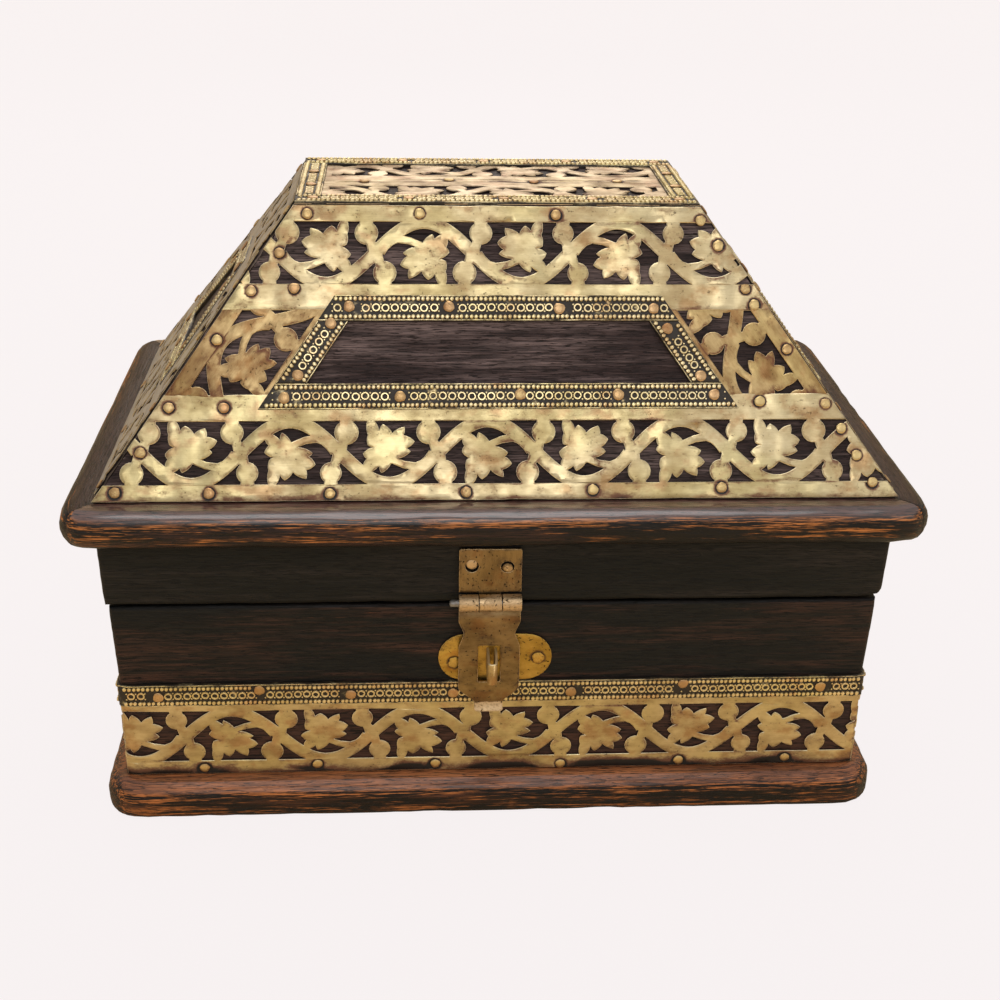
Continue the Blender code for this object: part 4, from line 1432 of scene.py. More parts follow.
@dataclass(frozen=True)
class Board:
    """A board of the box, copied from the model with finer edges, grain relief and worn arrises."""

    node: str
    body: str
    along: Vector
    across: Vector
    finish: WoodFinish
    stock: Stock
    cuts: tuple[tuple[Vector, float], ...]
    ends_worn: bool = True
    relief: float = 0.1
    chips: float = 0.3
    spread: float = 2.6
    facing: Place | None = None
    warp: Place | None = None
    bevel: float = 0.5
    dark_edge: float = 0.0
    closing: float = 0.0

    WORN_ANGLE = math.radians(12)
    SHARP_ANGLE = math.radians(50)
    MITRE = 0.68
    CHIPPED = 0.0018
    DARKENED = 0.0016

    def build(self) -> None:
        """Makes the piece and puts it in the node's place."""
        mesh = bmesh.new()
        mesh.from_mesh(frame["nodes"][self.node].data)
        bmesh.ops.remove_doubles(mesh, verts=mesh.verts, dist=1e-6)
        bmesh.ops.dissolve_limit(mesh, angle_limit=math.radians(1), verts=mesh.verts, edges=mesh.edges)
        lines = self.worn_lines(mesh)
        edges = [edge for edge in mesh.edges if edge.is_manifold]
        sharp = [edge for edge in edges if edge.calc_face_angle() > self.SHARP_ANGLE]
        slants = [[abs(face.normal.dot(self.along)) for face in edge.link_faces] for edge in sharp]
        pairs = zip(sharp, slants, strict=True)
        sharp = [edge for edge, slant in pairs if not any(0.3 < part < 0.9 for part in slant)]
        bmesh.ops.bevel(
            mesh, geom=sharp, offset=self.bevel * MM, offset_type="OFFSET", segments=2, profile=0.5,
            affect="EDGES", clamp_overlap=True,
        )
        for axis, step in self.cuts:
            self.slice(mesh, axis, step * MM)
        bmesh.ops.triangulate(mesh, faces=[face for face in mesh.faces if len(face.verts) > 4])
        mesh.normal_update()
        mesh.verts.index_update()
        self.shape_piece(mesh, lines)
        mesh.free()

    def worn_lines(self, mesh: bmesh.types.BMesh) -> Array:
        """Finds the edges that hands reach.

        Args:
            mesh: The plain board.

        Returns:
            The two ends of each edge, in metres.
        """
        lines = []
        for edge in mesh.edges:
            if not edge.is_manifold or edge.calc_face_angle() < self.WORN_ANGLE:
                continue
            joint = any(abs(face.normal.dot(self.along)) > 0.45 for face in edge.link_faces)
            way = edge.verts[0].co - edge.verts[1].co
            rounded = self.warp and abs(way.z) > 0.9 * way.length
            if not rounded and (self.ends_worn or not joint):
                lines.append([tuple(vert.co) for vert in edge.verts])
        return np.array(lines)

    def slice(self, mesh: bmesh.types.BMesh, axis: Vector, step: float) -> None:
        """Cuts the board's faces at even steps along an axis.

        Args:
            mesh: The board.
            axis: The axis.
            step: The step, in metres.
        """
        reach = [vert.co.dot(axis) for vert in mesh.verts]
        low, high = min(reach), max(reach)
        count = max(1, round((high - low) / step))
        for number in range(1, count):
            level = low + (high - low) * number / count
            geometry = [*mesh.verts, *mesh.edges, *mesh.faces]
            bmesh.ops.bisect_plane(mesh, geom=geometry, dist=1e-6, plane_co=axis * level, plane_no=axis)

    def shape_piece(self, mesh: bmesh.types.BMesh, lines: Array) -> None:
        """Raises the grain, chips the edges and makes the piece.

        Args:
            mesh: The board, cut fine.
            lines: The edges that hands reach.
        """
        points = np.array([vert.co for vert in mesh.verts])
        normals = np.array([vert.normal for vert in mesh.verts])
        near = np.full(len(points), 1.0)
        for start, end in lines:
            way = end - start
            share = np.clip(((points - start) @ way) / max(way @ way, 1e-12), 0.0, 1.0)
            near = np.minimum(near, np.linalg.norm(points - start - share[:, None] * way, axis=1))
        edge = np.exp(-((near / self.CHIPPED) ** 2))
        chance = random.Random(self.node)
        offset = np.array([chance.uniform(0, 900) for _ in range(3)])
        basis = np.array([self.along, self.across, self.along.cross(self.across)])
        lay = points @ basis.T / MM + offset
        move = []
        for (run, rise, depth), (x, y, z), worn in zip(lay, points, edge, strict=True):
            grain = noise.noise((run / 34, rise / 2.3, depth / 2.3))
            grain += 0.6 * noise.noise((run / 50, rise / 6, depth / 6))
            warp = noise.noise((x * 24 + offset[0], y * 24, z * 24))
            chip = max(0.0, noise.noise((x * 190 + offset[1], y * 190, z * 190)) - 0.05)
            move.append(self.relief * grain + 0.12 * warp - worn * (0.12 + self.chips * 2.0 * chip))
        faces = [tuple(vert.index for vert in face.verts) for face in mesh.faces]
        mitre = np.zeros_like(points)
        for face, numbers in zip(mesh.faces, faces, strict=True):
            if abs(face.normal.dot(self.along)) > self.MITRE:
                mitre[list(numbers)] = face.normal
        moved = points + (normals * np.array(move)[:, None] + mitre * self.closing) * MM
        shape = Shape()
        # Painted shade: with dark_edge set, the rubbed colour is kept off the edges, so that they read dark
        # at the lid's gap.
        dark = self.dark_edge * np.exp(-((near / self.DARKENED) ** 2))
        wear = np.exp(-near / MM / self.spread) * (1 - dark)
        wear *= np.clip(1.0 + 1.6 * normals[:, 2], 0.25, 1.0)
        # Painted shade: faces that look down, and faces that look along x, count as less open to the light; a
        # board may give its own facing instead.
        light_facing = (0.5 + 0.5 * normals[:, 2]) * (1 - 0.5 * np.abs(normals[:, 0]))
        facing = self.facing(points) if self.facing else light_facing
        shape.add(self.warp(moved) if self.warp else moved, faces, lay, wear, facing)
        shape.build(self.node + "_worn", self.body, self.finish, self.stock, [self.node], 34.0)


def rounded_plan(half: Point, given: float, radius: float) -> Place:
    """Wears the corners of a board rounder, seen from above.

    Args:
        half: Half the board's width and depth, in millimetres.
        given: Radius of the corners that it has.
        radius: Radius of the worn corners.

    Returns:
        The function that moves points, in metres.
    """

    def warp(points: Array) -> Array:
        """Draws the corners in.

        Args:
            points: Points of the board, in metres.

        Returns:
            The moved points.
        """
        middle = np.array(half) - radius
        past = np.abs(points[:, :2]) / MM - middle
        corner = (past > 0.0).all(axis=1)
        way = past[corner] / np.linalg.norm(past[corner], axis=1)[:, None]
        both, inner = way.sum(axis=1), radius - given
        arc = inner * both + np.sqrt(np.maximum(given**2 - inner**2 * (2 - both**2), 0.0))
        straight = radius * way.min(axis=1) < inner * way.max(axis=1)
        reach = np.where(straight, radius / way.max(axis=1), arc)
        moved = points.copy()
        drawn = middle + past[corner] * (radius / reach)[:, None]
        moved[corner, :2] = np.sign(points[corner, :2]) * drawn * MM
        return moved

    return warp


WALL_TOP, RIM_FOOT, BAND_TOP = 79.6, 81.2, 48.0
WORN_CORNER = (124.5, 84.6)


def leaning_ends(points: Array) -> Array:
    """Lets the box's ends lean out a little towards the lid, and wears down one corner of the lid's rim.

    Args:
        points: Points of a wall or of the rim, in metres.

    Returns:
        The moved points.
    """
    x, z = points[:, 0] / MM, points[:, 2] / MM
    lean = 1.2 * np.clip((z - 50.0) / 30.0, 0.0, 1.0) + 0.7 * np.clip((z - 81.0) / 24.0, 0.0, 1.0)
    moved = points.copy()
    moved[:, 0] += np.sign(x) * lean * np.clip((np.abs(x) - 90.0) / 35.0, 0.0, 1.0) * MM
    past = np.stack([x - WORN_CORNER[0], WORN_CORNER[1] - z], axis=1)
    corner = (past > 0.0).all(axis=1) & (z > 80.3)
    share = past[corner].max(axis=1) / np.linalg.norm(past[corner], axis=1)
    moved[corner, 0] -= past[corner, 0] * (1 - share) * MM
    moved[corner, 2] += past[corner, 1] * (1 - share) * MM
    return moved


def wall_facing(points: Array) -> Array:
    """How the wood of walls and rim is toned: the warmer wood behind the brass, and painted shade in the
    lid's gap.

    Args:
        points: Points of a wall or of the rim, in metres.

    Returns:
        From 0.2 in the gap to 0.9 behind the brass.
    """
    z = points[:, 2] / MM
    gap = np.clip(1 - np.minimum(np.abs(z - WALL_TOP), np.abs(z - RIM_FOOT)) / 1.4, 0.0, 1.0)
    return np.where(z < BAND_TOP, 0.9, 0.6 - 0.4 * gap)


@dataclass
class Slope:
    """The shape of one slope of the roof, in millimetres, and the levels of what lies on it.

    Half is half its width at its foot, and depth its foot's distance from the middle of the box. Run and rise
    are how far it goes in and up. Slant is how much it narrows on each side, and stretch the length of the
    hip, for each millimetre up it.
    """

    side: Side
    sizes: Measures

    FRAME_LAP = 4.8
    FRAME_INSET = 27.0

    def __post_init__(self) -> None:
        """Works out the slope's sizes and its face, with its origin in the middle of the foot."""
        wide, deep = self.side.axes
        self.half, self.depth = self.sizes.roof_half[wide], self.sizes.roof_half[deep]
        self.run = self.depth - self.sizes.top_half[deep]
        self.rise = self.sizes.roof_top - self.sizes.roof_foot
        self.length = math.hypot(self.run, self.rise)
        self.slant = (self.half - self.sizes.top_half[wide]) / self.length
        self.stretch = math.hypot(1.0, self.slant)
        self.facet = Facet(
            self.side.turn(Vector((0.0, -self.depth, self.sizes.roof_foot)) * MM),
            self.side.turn(RIGHT),
            self.side.turn(Vector((0.0, self.run, self.rise)) / self.length),
        )
        low = self.sizes.strip - self.FRAME_LAP
        self.frame_levels = (low, self.length - low)

    def edge(self, v: float, inset: float) -> float:
        """Half the slope's width at a height, less an inset measured square to the hip."""
        return self.half - self.slant * v - inset * self.stretch

    def bare_wood(self, points: Array) -> Array:
        """Finds how open to the light the slope's wood is, for the painted shade in the strips' openings.

        Args:
            points: Points on the slope, in metres.

        Returns:
            For each point 0.5 inside the beaded frame and along the hips, and less in the strips' openings.
        """
        offset = points / MM - np.array(self.facet.origin) / MM
        u, v = offset @ np.array(self.facet.along), offset @ np.array(self.facet.up)
        low, high = self.frame_levels
        reach = self.edge(v, 0.0) - np.abs(u)
        bare = (v > low) & (v < high) & (reach > self.FRAME_INSET * self.stretch)
        return np.where(bare | (reach < 6.0), 0.5, 0.3)

    def meet_top(self, points: Array) -> Array:
        """Draws the upper edge of the slope's wood up to the board on top of it.

        Args:
            points: Points of the slope's wood, in metres.

        Returns:
            The moved points.
        """
        moved = points.copy()
        moved[points[:, 2] > points[:, 2].max() - 0.6 * MM] += np.array(self.facet.up) * 0.36 * MM
        return moved


@dataclass
class Woodwork:
    """Base board, walls, rim, moulding and roof."""

    sizes: Measures

    def build(self) -> None:
        """Makes all boards."""
        base_cuts = ((RIGHT, 5.0), (AWAY, 3.5), (UP, 1.6))
        Board(
            "base_board", "box", RIGHT, AWAY, BASE_WOOD, Stock.BROWN_WOOD, base_cuts, relief=0.12,
            warp=rounded_plan(self.half("base_board"), 7.0, 13.0),
        ).build()
        for side in Side:
            self.build_side(side)
        top_cuts = ((RIGHT, 8.0), (AWAY, 3.0))
        # Painted shade: the top board's wood, seen only through the piercings, counts as little open to the
        # light.
        Board(
            "roof_top_board", "lid", RIGHT, AWAY, ROOF_WOOD, Stock.DARK_WOOD, top_cuts, spread=0.3, bevel=0.1,
            facing=lambda points: np.full(len(points), 0.3),
        ).build()

    def half(self, *nodes: str) -> Point:
        """Half the width and depth of nodes that lie about the middle of the box, in millimetres."""
        corners = [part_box(node)[1] / MM for node in nodes]
        return max(corner.x for corner in corners), max(corner.y for corner in corners)

    def build_side(self, side: Side) -> None:
        """Makes the boards of one side.

        Args:
            side: The side.
        """
        along = side.turn(RIGHT)
        away = side.turn(AWAY)
        wall_cuts = ((along, 8.0), (UP, 1.7))
        Board(
            f"box_{side.label}", "box", along, UP, WALL_WOOD, Stock.DARK_WOOD, wall_cuts, False, spread=6.0,
            facing=wall_facing, warp=leaning_ends, bevel=1.7, dark_edge=1.0,
        ).build()
        Board(
            f"lid_rim_{side.label}", "lid", along, UP, RIM_WOOD, Stock.DARK_WOOD, wall_cuts, False,
            facing=wall_facing, warp=leaning_ends, bevel=1.7, dark_edge=1.0,
        ).build()
        moulding_cuts = ((along, 6.0), (UP, 1.8), (away, 2.4))
        finish = MOULDING_WOOD if side.is_long else SHADED_SIDE_MOULDING_WOOD
        Board(
            f"lid_moulding_{side.label}", "lid", along, UP, finish, Stock.BROWN_WOOD, moulding_cuts, False,
            relief=0.12, warp=rounded_plan(self.half("lid_moulding_back", "lid_moulding_right"), 6.0, 12.0),
            closing=0.3,
        ).build()
        slope = Slope(side, self.sizes)
        roof_cuts = ((along, 3.5), (slope.facet.up, 1.7))
        Board(
            f"roof_panel_{side.label}", "lid", along, slope.facet.up, ROOF_WOOD, Stock.DARK_WOOD, roof_cuts,
            spread=3.0 if side.is_long else 14.0, facing=slope.bare_wood, warp=slope.meet_top, bevel=0.1,
        ).build()


def tapered(low_half: float, high_half: float, low: float, high: float) -> Outline:
    """An outline between two levels, of the same half width to both sides of the middle."""
    return [(-low_half, low), (low_half, low), (high_half, high), (-high_half, high)]


def raised(shapes: list[Outline], rise: float) -> list[Outline]:
    """Outlines moved up."""
    return [[(u, v + rise) for u, v in outline] for outline in shapes]


@dataclass
class BoxCladding:
    """The pierced band round the foot of one wall, and the beaded strip above it."""

    side: Side
    sizes: Measures
    vine: Vine

    BEND = 31.8
    FRONT_CREST = -27.0
    FRONT_BAND_NAILS = (
        (-101.0, 16.2), (-62.0, 17.0), (-21.0, 16.4), (23.0, 15.4), (65.0, 16.0), (103.0, 16.4),
    )
    FRONT_EDGING_NAILS = (
        (-114.6, -0.4), (-80.6, 1.9), (-49.8, -0.3), (-15.0, -0.3), (25.5, -0.5), (64.3, 2.1), (112.5, 0.0),
    )

    def build(self) -> None:
        """Makes the band, the strip and their nails."""
        wide, deep = self.side.axes
        foot = self.side.turn(Vector((0.0, -self.sizes.box_half[deep] * MM, 0.0)))
        face = WallFace(foot, self.side.turn(RIGHT), UP, self.sizes.box_half[wide])
        band_nails, edging_nails = self.nail_spots(face.half)
        self.add_band(face, band_nails)
        self.add_edging(face, edging_nails)
        rows = [(edging_nails, *EDGING_NAIL), (band_nails, *BAND_NAIL)]
        Nails(f"box_nails_{self.side.label}", "box", face.place, rows).build()

    def nail_spots(self, half: float) -> tuple[list[Point], list[Point]]:
        """Where the nails go: as the photograph shows on the front, and evenly on the other walls.

        Args:
            half: Half the wall's width.

        Returns:
            The nails of the band and of the strip.
        """
        middle = self.sizes.bead_foot + self.sizes.bead / 2
        if self.side is Side.FRONT:
            edging = [(u, middle + rise) for u, rise in self.FRONT_EDGING_NAILS]
            return list(self.FRONT_BAND_NAILS), edging
        count = round(half * 2 / 41)
        runs = [half * (2 * (i + 0.5) / count - 1) + 3 * math.sin(i * 2.3) for i in range(count)]
        band = [(u, 16.4 + math.sin(i)) for i, u in enumerate(runs)]
        count = round(half * 2 / 36)
        runs = [half * (2 * (i + 0.5) / count - 1) + 3 * math.cos(i * 1.9) for i in range(count)]
        return band, [(u, middle + 0.8 * math.sin(u)) for u in runs]

    def add_band(self, face: WallFace, nails: list[Point]) -> None:
        """Makes the pierced band.

        Args:
            face: The wall.
            nails: Its nails.
        """
        reach, foot, turn = face.reach, self.sizes.band_foot, self.side.value
        crest = self.FRONT_CREST if self.side is Side.FRONT else 7.0 + turn / 9
        shapes = replace(self.vine, bend=self.BEND).shapes(-reach - 6, reach + 6, crest, 11 + turn)
        cut = hand_cut(tapered(reach, reach, foot, foot + self.sizes.strip), 3.0, 0.3, turn)
        outline = [(min(max(u, -reach), reach), v) for u, v in cut]
        sheet = Sheet(outline, raised(shapes, foot), nails=nails, soil=1.6, seed=0.3 + turn / 100)
        node = f"base_band_{self.side.label}"
        sheet.laid(face.place).build(node + "_pierced", "box", PIERCED_BRASS, Stock.PIERCED, [node])

    def add_edging(self, face: WallFace, nails: list[Point]) -> None:
        """Makes the beaded strip.

        Args:
            face: The wall.
            nails: Its nails.
        """
        reach, foot, bead = face.reach, self.sizes.bead_foot, self.sizes.bead
        outline = hand_cut(tapered(reach, reach, foot, foot + bead), 4.0, 0.12, 3.0)
        ends = ((-reach, foot + bead / 2), (reach, foot + bead / 2))
        place = sunken(face.place, 0.0 if self.side.is_long else 0.25)
        shape = Shape()
        BeadedStrip(shape, place, *ends, outline, nails, 1.0 + self.side.value).lay()
        node = f"bead_strip_{self.side.label}"
        shape.build(node + "_beaded", "box", BEADED_BRASS, Stock.BEADED, [node])


@dataclass
class SlopeCladding(Slope):
    """The brass on one slope of the roof: two bands, two hip strips and a beaded frame round bare wood."""

    vine: Vine

    SIDE_MARGIN = 5.0
    ENDS_ONLY = 300.0
    LOWER_NAILS = (
        (-122.4, 3.0), (-92.9, 2.6), (-54.7, 2.3), (-11.3, 2.5), (29.6, 3.0), (71.5, 3.4), (121.2, 4.8),
        (-105.5, 29.9), (-88.1, 29.8), (84.5, 31.4), (106.2, 30.6), (-114.4, 15.6), (111.2, 22.4),
        (116.2, 13.7),
    )
    UPPER_NAILS = (
        (-61.6, 92.3), (-25.5, 92.5), (18.6, 92.2), (66.0, 90.6), (71.6, 82.4), (-70.4, 79.6), (-79.5, 67.3),
        (-65.8, 68.2), (80.4, 68.2), (83.2, 63.0),
    )
    HIP_NAILS = ((-90.3, 51.5), (93.8, 48.5))
    HIP_CRESTS = {-1.0: 32.5, 1.0: 57.2}
    FRAME_NAILS = (
        (-48.3, 62.2), (-16.3, 62.2), (19.3, 61.6), (50.0, 61.6), (-69.1, 32.9), (-32.2, 33.2), (6.4, 33.8),
        (38.1, 33.7), (69.4, 33.6), (-54.2, 56.8), (-64.6, 40.1), (54.4, 55.1), (65.2, 39.7),
    )

    @property
    def margin(self) -> float:
        """Bare wood that the brass leaves along the hips."""
        return -0.2 if self.side.is_long else self.SIDE_MARGIN

    def build(self) -> None:
        """Makes the slope's brass and its nails."""
        front, turn = self.side is Side.FRONT, self.side.value
        lower, upper, hips, inner = self.nail_spots()
        self.add_band("lower_band", 0.0, -4.4 if front else 11.0 + turn / 7, False, lower, 0.3)
        foot = self.length - self.sizes.strip
        self.add_band("upper_band", foot, -24.2 if front else -8.0 + turn / 9, True, upper, 0.1)
        for way, name in ((-1.0, "left"), (1.0, "right")):
            self.add_hip_strip(way, name, [spot for spot in hips if spot[0] * way > 0])
        self.add_frame(inner)
        rows = [([*lower, *upper, *hips], *BAND_NAIL), (inner, *EDGING_NAIL)]
        Nails(f"slope_nails_{self.side.label}", "lid", self.facet.place, rows).build()

    def nail_spots(self) -> tuple[list[Point], ...]:
        """Where the nails of the slope go: as the photograph shows on the front, and evenly elsewhere.

        Returns:
            The nails of the lower band, the upper band, the hip strips and the beaded frame.
        """
        if self.side is Side.FRONT:
            return tuple(map(list, (self.LOWER_NAILS, self.UPPER_NAILS, self.HIP_NAILS, self.FRAME_NAILS)))
        high, inset = self.length, self.FRAME_INSET
        lower = self.row(3.0, 6.0, 40.0) + self.row(30.8, 4.5, self.ENDS_ONLY)
        upper = self.row(high - 2.9, 4.0, 42.0) + self.row(high - 31, 5, self.ENDS_ONLY)
        hips = self.row(high / 2 + 2, 3.4 + self.margin, self.ENDS_ONLY)
        foot, head = self.frame_levels
        inner = self.row(foot + 4.15, inset + 6.5, 34.0) + self.row(head - 4.15, inset + 3.5, 33.0)
        for v in (foot + 13.0, head - 12.0):
            inner += self.row(v, inset + 4.15, self.ENDS_ONLY)
        return lower, upper, hips, inner

    def row(self, v: float, inset: float, step: float) -> list[Point]:
        """An even row of nails, with both ends at the same distance from the middle.

        Args:
            v: Its height up the slope.
            inset: Distance of its ends from the hips.
            step: About how far apart its nails are.

        Returns:
            The nails.
        """
        reach = self.edge(v, inset)
        count = max(1, round(2 * reach / step))
        return [(reach * (2 * i / count - 1), v + 0.5 * math.sin(i * 2.1 + v)) for i in range(count + 1)]

    def upright(self, way: float, levels: Point, outer: float, inner: float) -> Outline:
        """Outline of a strip up one side, between two levels and two insets from the hip."""
        corners = ((outer, levels[0]), (inner, levels[0]), (inner, levels[1]), (outer, levels[1]))
        return [(way * self.edge(v, inset), v) for inset, v in corners]

    def add_band(
        self, name: str, foot: float, crest: float, mirrored: bool, nails: list[Point], soil: float
    ) -> None:
        """Makes a level band.

        Args:
            name: The node's name, without its side.
            foot: Where it starts, up the slope.
            crest: Where an upward bend of its vine is.
            mirrored: True if the strip is the other way up, so that its vine runs from right to left.
            nails: Its nails.
            soil: How sooty its lower edge is.
        """
        top, turn = foot + self.sizes.strip, self.side.value
        reach, high = self.edge(foot, self.margin), self.edge(top, self.margin)
        vine = self.vine.overturned if mirrored else self.vine
        shapes = vine.shapes(-reach - 8, reach + 8, crest, round(foot) + turn, mirrored)
        outline = hand_cut(tapered(reach, high, foot, top), 3.0, 0.35, turn + foot)
        dents = 0.5 if self.side.is_long else 0.14
        seed = 0.2 + foot / 90 + turn / 100
        sheet = Sheet(outline, raised(shapes, foot), nails=nails, soil=soil, dents=dents, seed=seed)
        self.build_pierced(sheet, f"{name}_{self.side.label}", PIERCED_BRASS)

    def build_pierced(self, sheet: Sheet, node: str, finish: MetalFinish) -> None:
        """Makes a pierced strip in a node's place, with the darker painted-shade copy of its finish on the
        short sides.
        """
        shown = finish if self.side.is_long else SHADED_SIDE_BRASS
        sheet.laid(self.facet.place).build(node + "_pierced", "lid", shown, Stock.PIERCED, [node])

    def add_hip_strip(self, way: float, name: str, nails: list[Point]) -> None:
        """Makes the strip up one hip.

        Args:
            way: -1 for the left hip and 1 for the right one.
            name: The hip's name.
            nails: Its nails.
        """
        strip, turn = self.sizes.strip, self.side.value

        def turned(run: float, rise: float) -> Point:
            """Takes a point of the strip, along the hip and in from it, to the slope."""
            u = -self.half + (run * self.slant + rise) / self.stretch
            return (-way * u, (run - rise * self.slant) / self.stretch)

        shapes = self.vine.shapes(-20, self.length * self.stretch + 40, self.HIP_CRESTS[way], 70 + turn)
        solids = [[turned(*point) for point in outline] for outline in shapes]
        levels = (strip - 0.6, self.length - strip + 0.6)
        outline = hand_cut(self.upright(way, levels, self.margin, strip), 3.0, 0.3, turn + way)
        sheet = Sheet(
            outline, solids, nails=nails, back=0.2, dents=0.3 if self.side.is_long else 0.14, soil=0.2,
            seed=0.7 + way / 4 + turn / 100, spin=-way * math.atan2(1.0, self.slant),
        )
        self.build_pierced(sheet, f"hip_strip_{self.side.label}_{name}", COPPERY_BRASS)

    def add_frame(self, nails: list[Point]) -> None:
        """Makes the beaded frame.

        Args:
            nails: Its nails.
        """
        foot, head = self.frame_levels
        wide, inset, turn = BeadedStrip.WIDTH, self.FRAME_INSET, self.side.value
        shape = Shape()
        place = sunken(self.facet.place, 0.0 if self.side.is_long else 0.3)
        for low, high, seed in ((foot, foot + wide, 2.0), (head - wide, head, 4.0)):
            halves = self.edge(low, inset), self.edge(high, inset)
            outline = hand_cut(tapered(*halves, low, high), 4.0, 0.12, seed)
            middle = (low + high) / 2
            reach = self.edge(middle, inset)
            BeadedStrip(shape, place, (-reach, middle), (reach, middle), outline, nails, seed + turn).lay()
        levels = (foot + wide + 0.15, head - wide - 0.15)
        for way in (-1.0, 1.0):
            outline = hand_cut(self.upright(way, levels, inset, inset + wide), 4.0, 0.1, way)
            ends = [(way * self.edge(v, inset + wide / 2), v) for v in levels]
            BeadedStrip(shape, place, *ends, outline, nails, 6.0 + way + turn).lay()
        node = f"bead_frame_{self.side.label}"
        finish = BEADED_BRASS if self.side.is_long else SHADED_SIDE_BEADED_BRASS
        shape.build(node + "_beaded", "lid", finish, Stock.BEADED, [node])


@dataclass
class TopCladding:
    """The brass on the flat top: two pierced strips side by side, and a beaded frame round them."""

    sizes: Measures
    vine: Vine

    PANEL_NAILS = ((-44.0, -1.0), (-15.0, 1.2), (14.0, -0.8), (43.0, 0.6))
    FRAME_ROWS = {-1: (-60.0, -29.0, 2.0, 31.0, 60.0), 1: (-60.0, -31.0, -2.0, 28.0, 60.0)}
    END_WIDTH = 10.5

    def build(self) -> None:
        """Makes the panel, its frame and their nails."""
        wide, deep = self.sizes.top_half
        facet = Facet(Vector((0.0, 0.0, self.sizes.roof_top * MM)), RIGHT, AWAY)
        shift = deep + 0.6
        solids = raised(self.vine.shapes(-wide - 5, wide + 5, 6.0, 301), -shift)
        back = self.vine.shapes(-wide - 5, wide + 5, -21.0, 302)
        solids += [[(u, shift - v) for u, v in outline] for outline in back]
        for way in (-1, 1):
            end = way * (wide - self.END_WIDTH)
            solids.append([(way * wide, -deep), (end, -deep), (end, deep), (way * wide, deep)])
        outline = hand_cut(tapered(wide, wide, -deep, deep), 3.0, 0.2, 9.0)
        sheet = Sheet(outline, solids, nails=list(self.PANEL_NAILS), seed=0.9)
        sheet.laid(facet.place).build("top_panel_pierced", "lid", SHADED_TOP_BRASS, Stock.PIERCED, ["top_panel"])
        rows = [(self.PANEL_NAILS, *BAND_NAIL), (self.add_frame(facet), *EDGING_NAIL)]
        Nails("top_nails", "lid", facet.place, rows).build()

    def add_frame(self, facet: Facet) -> list[Point]:
        """Makes the beaded frame.

        Args:
            facet: The flat top.

        Returns:
            The frame's nails.
        """
        wide, deep = self.sizes.top_half
        band = BeadedStrip.WIDTH
        middle, side, reach = deep - band / 2, wide - band / 2, deep - band - 0.15
        nails = [(u, middle * way) for way, row in self.FRAME_ROWS.items() for u in row]
        nails += [(side * way, v) for way in (-1, 1) for v in (-9.0, 10.0)]
        shape = Shape()
        for way in (-1, 1):
            low, high = sorted((way * deep, way * (deep - band)))
            outline = hand_cut(tapered(wide, wide, low, high), 4.0, 0.12, way)
            ends = ((-wide, way * middle), (wide, way * middle))
            BeadedStrip(shape, facet.place, *ends, outline, nails, 20.0 + way).lay()
            low, high = sorted((way * wide, way * (wide - band)))
            outline = hand_cut([(low, -reach), (high, -reach), (high, reach), (low, reach)], 4.0, 0.12, way)
            ends = ((way * side, -reach), (way * side, reach))
            BeadedStrip(shape, facet.place, *ends, outline, nails, 24.0 + way).lay()
        shape.build("top_bead_frame_beaded", "lid", BEADED_BRASS, Stock.BEADED, ["top_bead_frame"])
        return nails


def joint_axis(name: str) -> Vector:
    """A point on a joint's axis, in millimetres."""
    found = next(joint for joint in frame["joints"] if joint["name"] == name)
    return Vector(found["pos_m"]) / MM


def build_pin(node: str, body: str, radius: float) -> None:
    """Makes a steel pin, with rounded ends and a slightly uneven shank, in the place of the model's.

    Args:
        node: The pin's node.
        body: The body that it rides on.
        radius: Its radius.
    """
    low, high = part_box(node)
    middle = (low + high) / 2 / MM
    start = Vector((low.x / MM, middle.y, middle.z))
    end = Vector((high.x / MM, middle.y, middle.z))
    way = (end - start).normalized()
    side = way.orthogonal().normalized()
    other = way.cross(side)
    length = (end - start).length
    stops = [(0.0, 0.35), (0.12, 0.7), (0.4, 0.93), (0.8, 1.0)]
    stops += [(run, 1.0) for run in np.linspace(1.4, length - 1.4, 9)]
    stops += [(length - run, share) for run, share in stops[3::-1]]
    count = 18
    spots = []
    for run, share in stops:
        for index in range(count):
            angle = 2 * math.pi * index / count
            cos, sin = math.cos(angle), math.sin(angle)
            reach = radius * share * (1 + 0.03 * noise.noise((run / 3, cos, sin + 1.0)))
            spots.append(start + way * run + side * (reach * cos) + other * (reach * sin))
    points = np.array(spots)
    first, last = tuple(range(count - 1, -1, -1)), tuple(range(len(points) - count, len(points)))
    faces = [first, *ring_faces(len(stops), count), last]
    rough = np.array([0.25 + 0.25 * noise.noise(tuple(point / 2)) for point in points])
    shape = Shape()
    shape.add(points * MM, faces, points, np.zeros(len(points)), rough)
    shape.build(node + "_turned", body, PIN_STEEL, Stock.STEEL, [node], 30.0)


def smooth_holes(width: float, low: float, high: float, corner: float) -> Outline:
    """A hole with rounded corners, centred on the middle line.

    Args:
        width: Its width.
        low: Its lowest level.
        high: Its highest level.
        corner: Radius of its corners.

    Returns:
        The hole's outline.
    """
    half = width / 2 - corner
    outline: Outline = []
    top, foot = high - corner, low + corner
    for u, v, start in ((half, top, 0), (-half, top, 90), (-half, foot, 180), (half, foot, 270)):
        for step in range(4):
            angle = math.radians(start + 30 * step)
            outline.append((u + corner * math.cos(angle), v + corner * math.sin(angle)))
    return outline


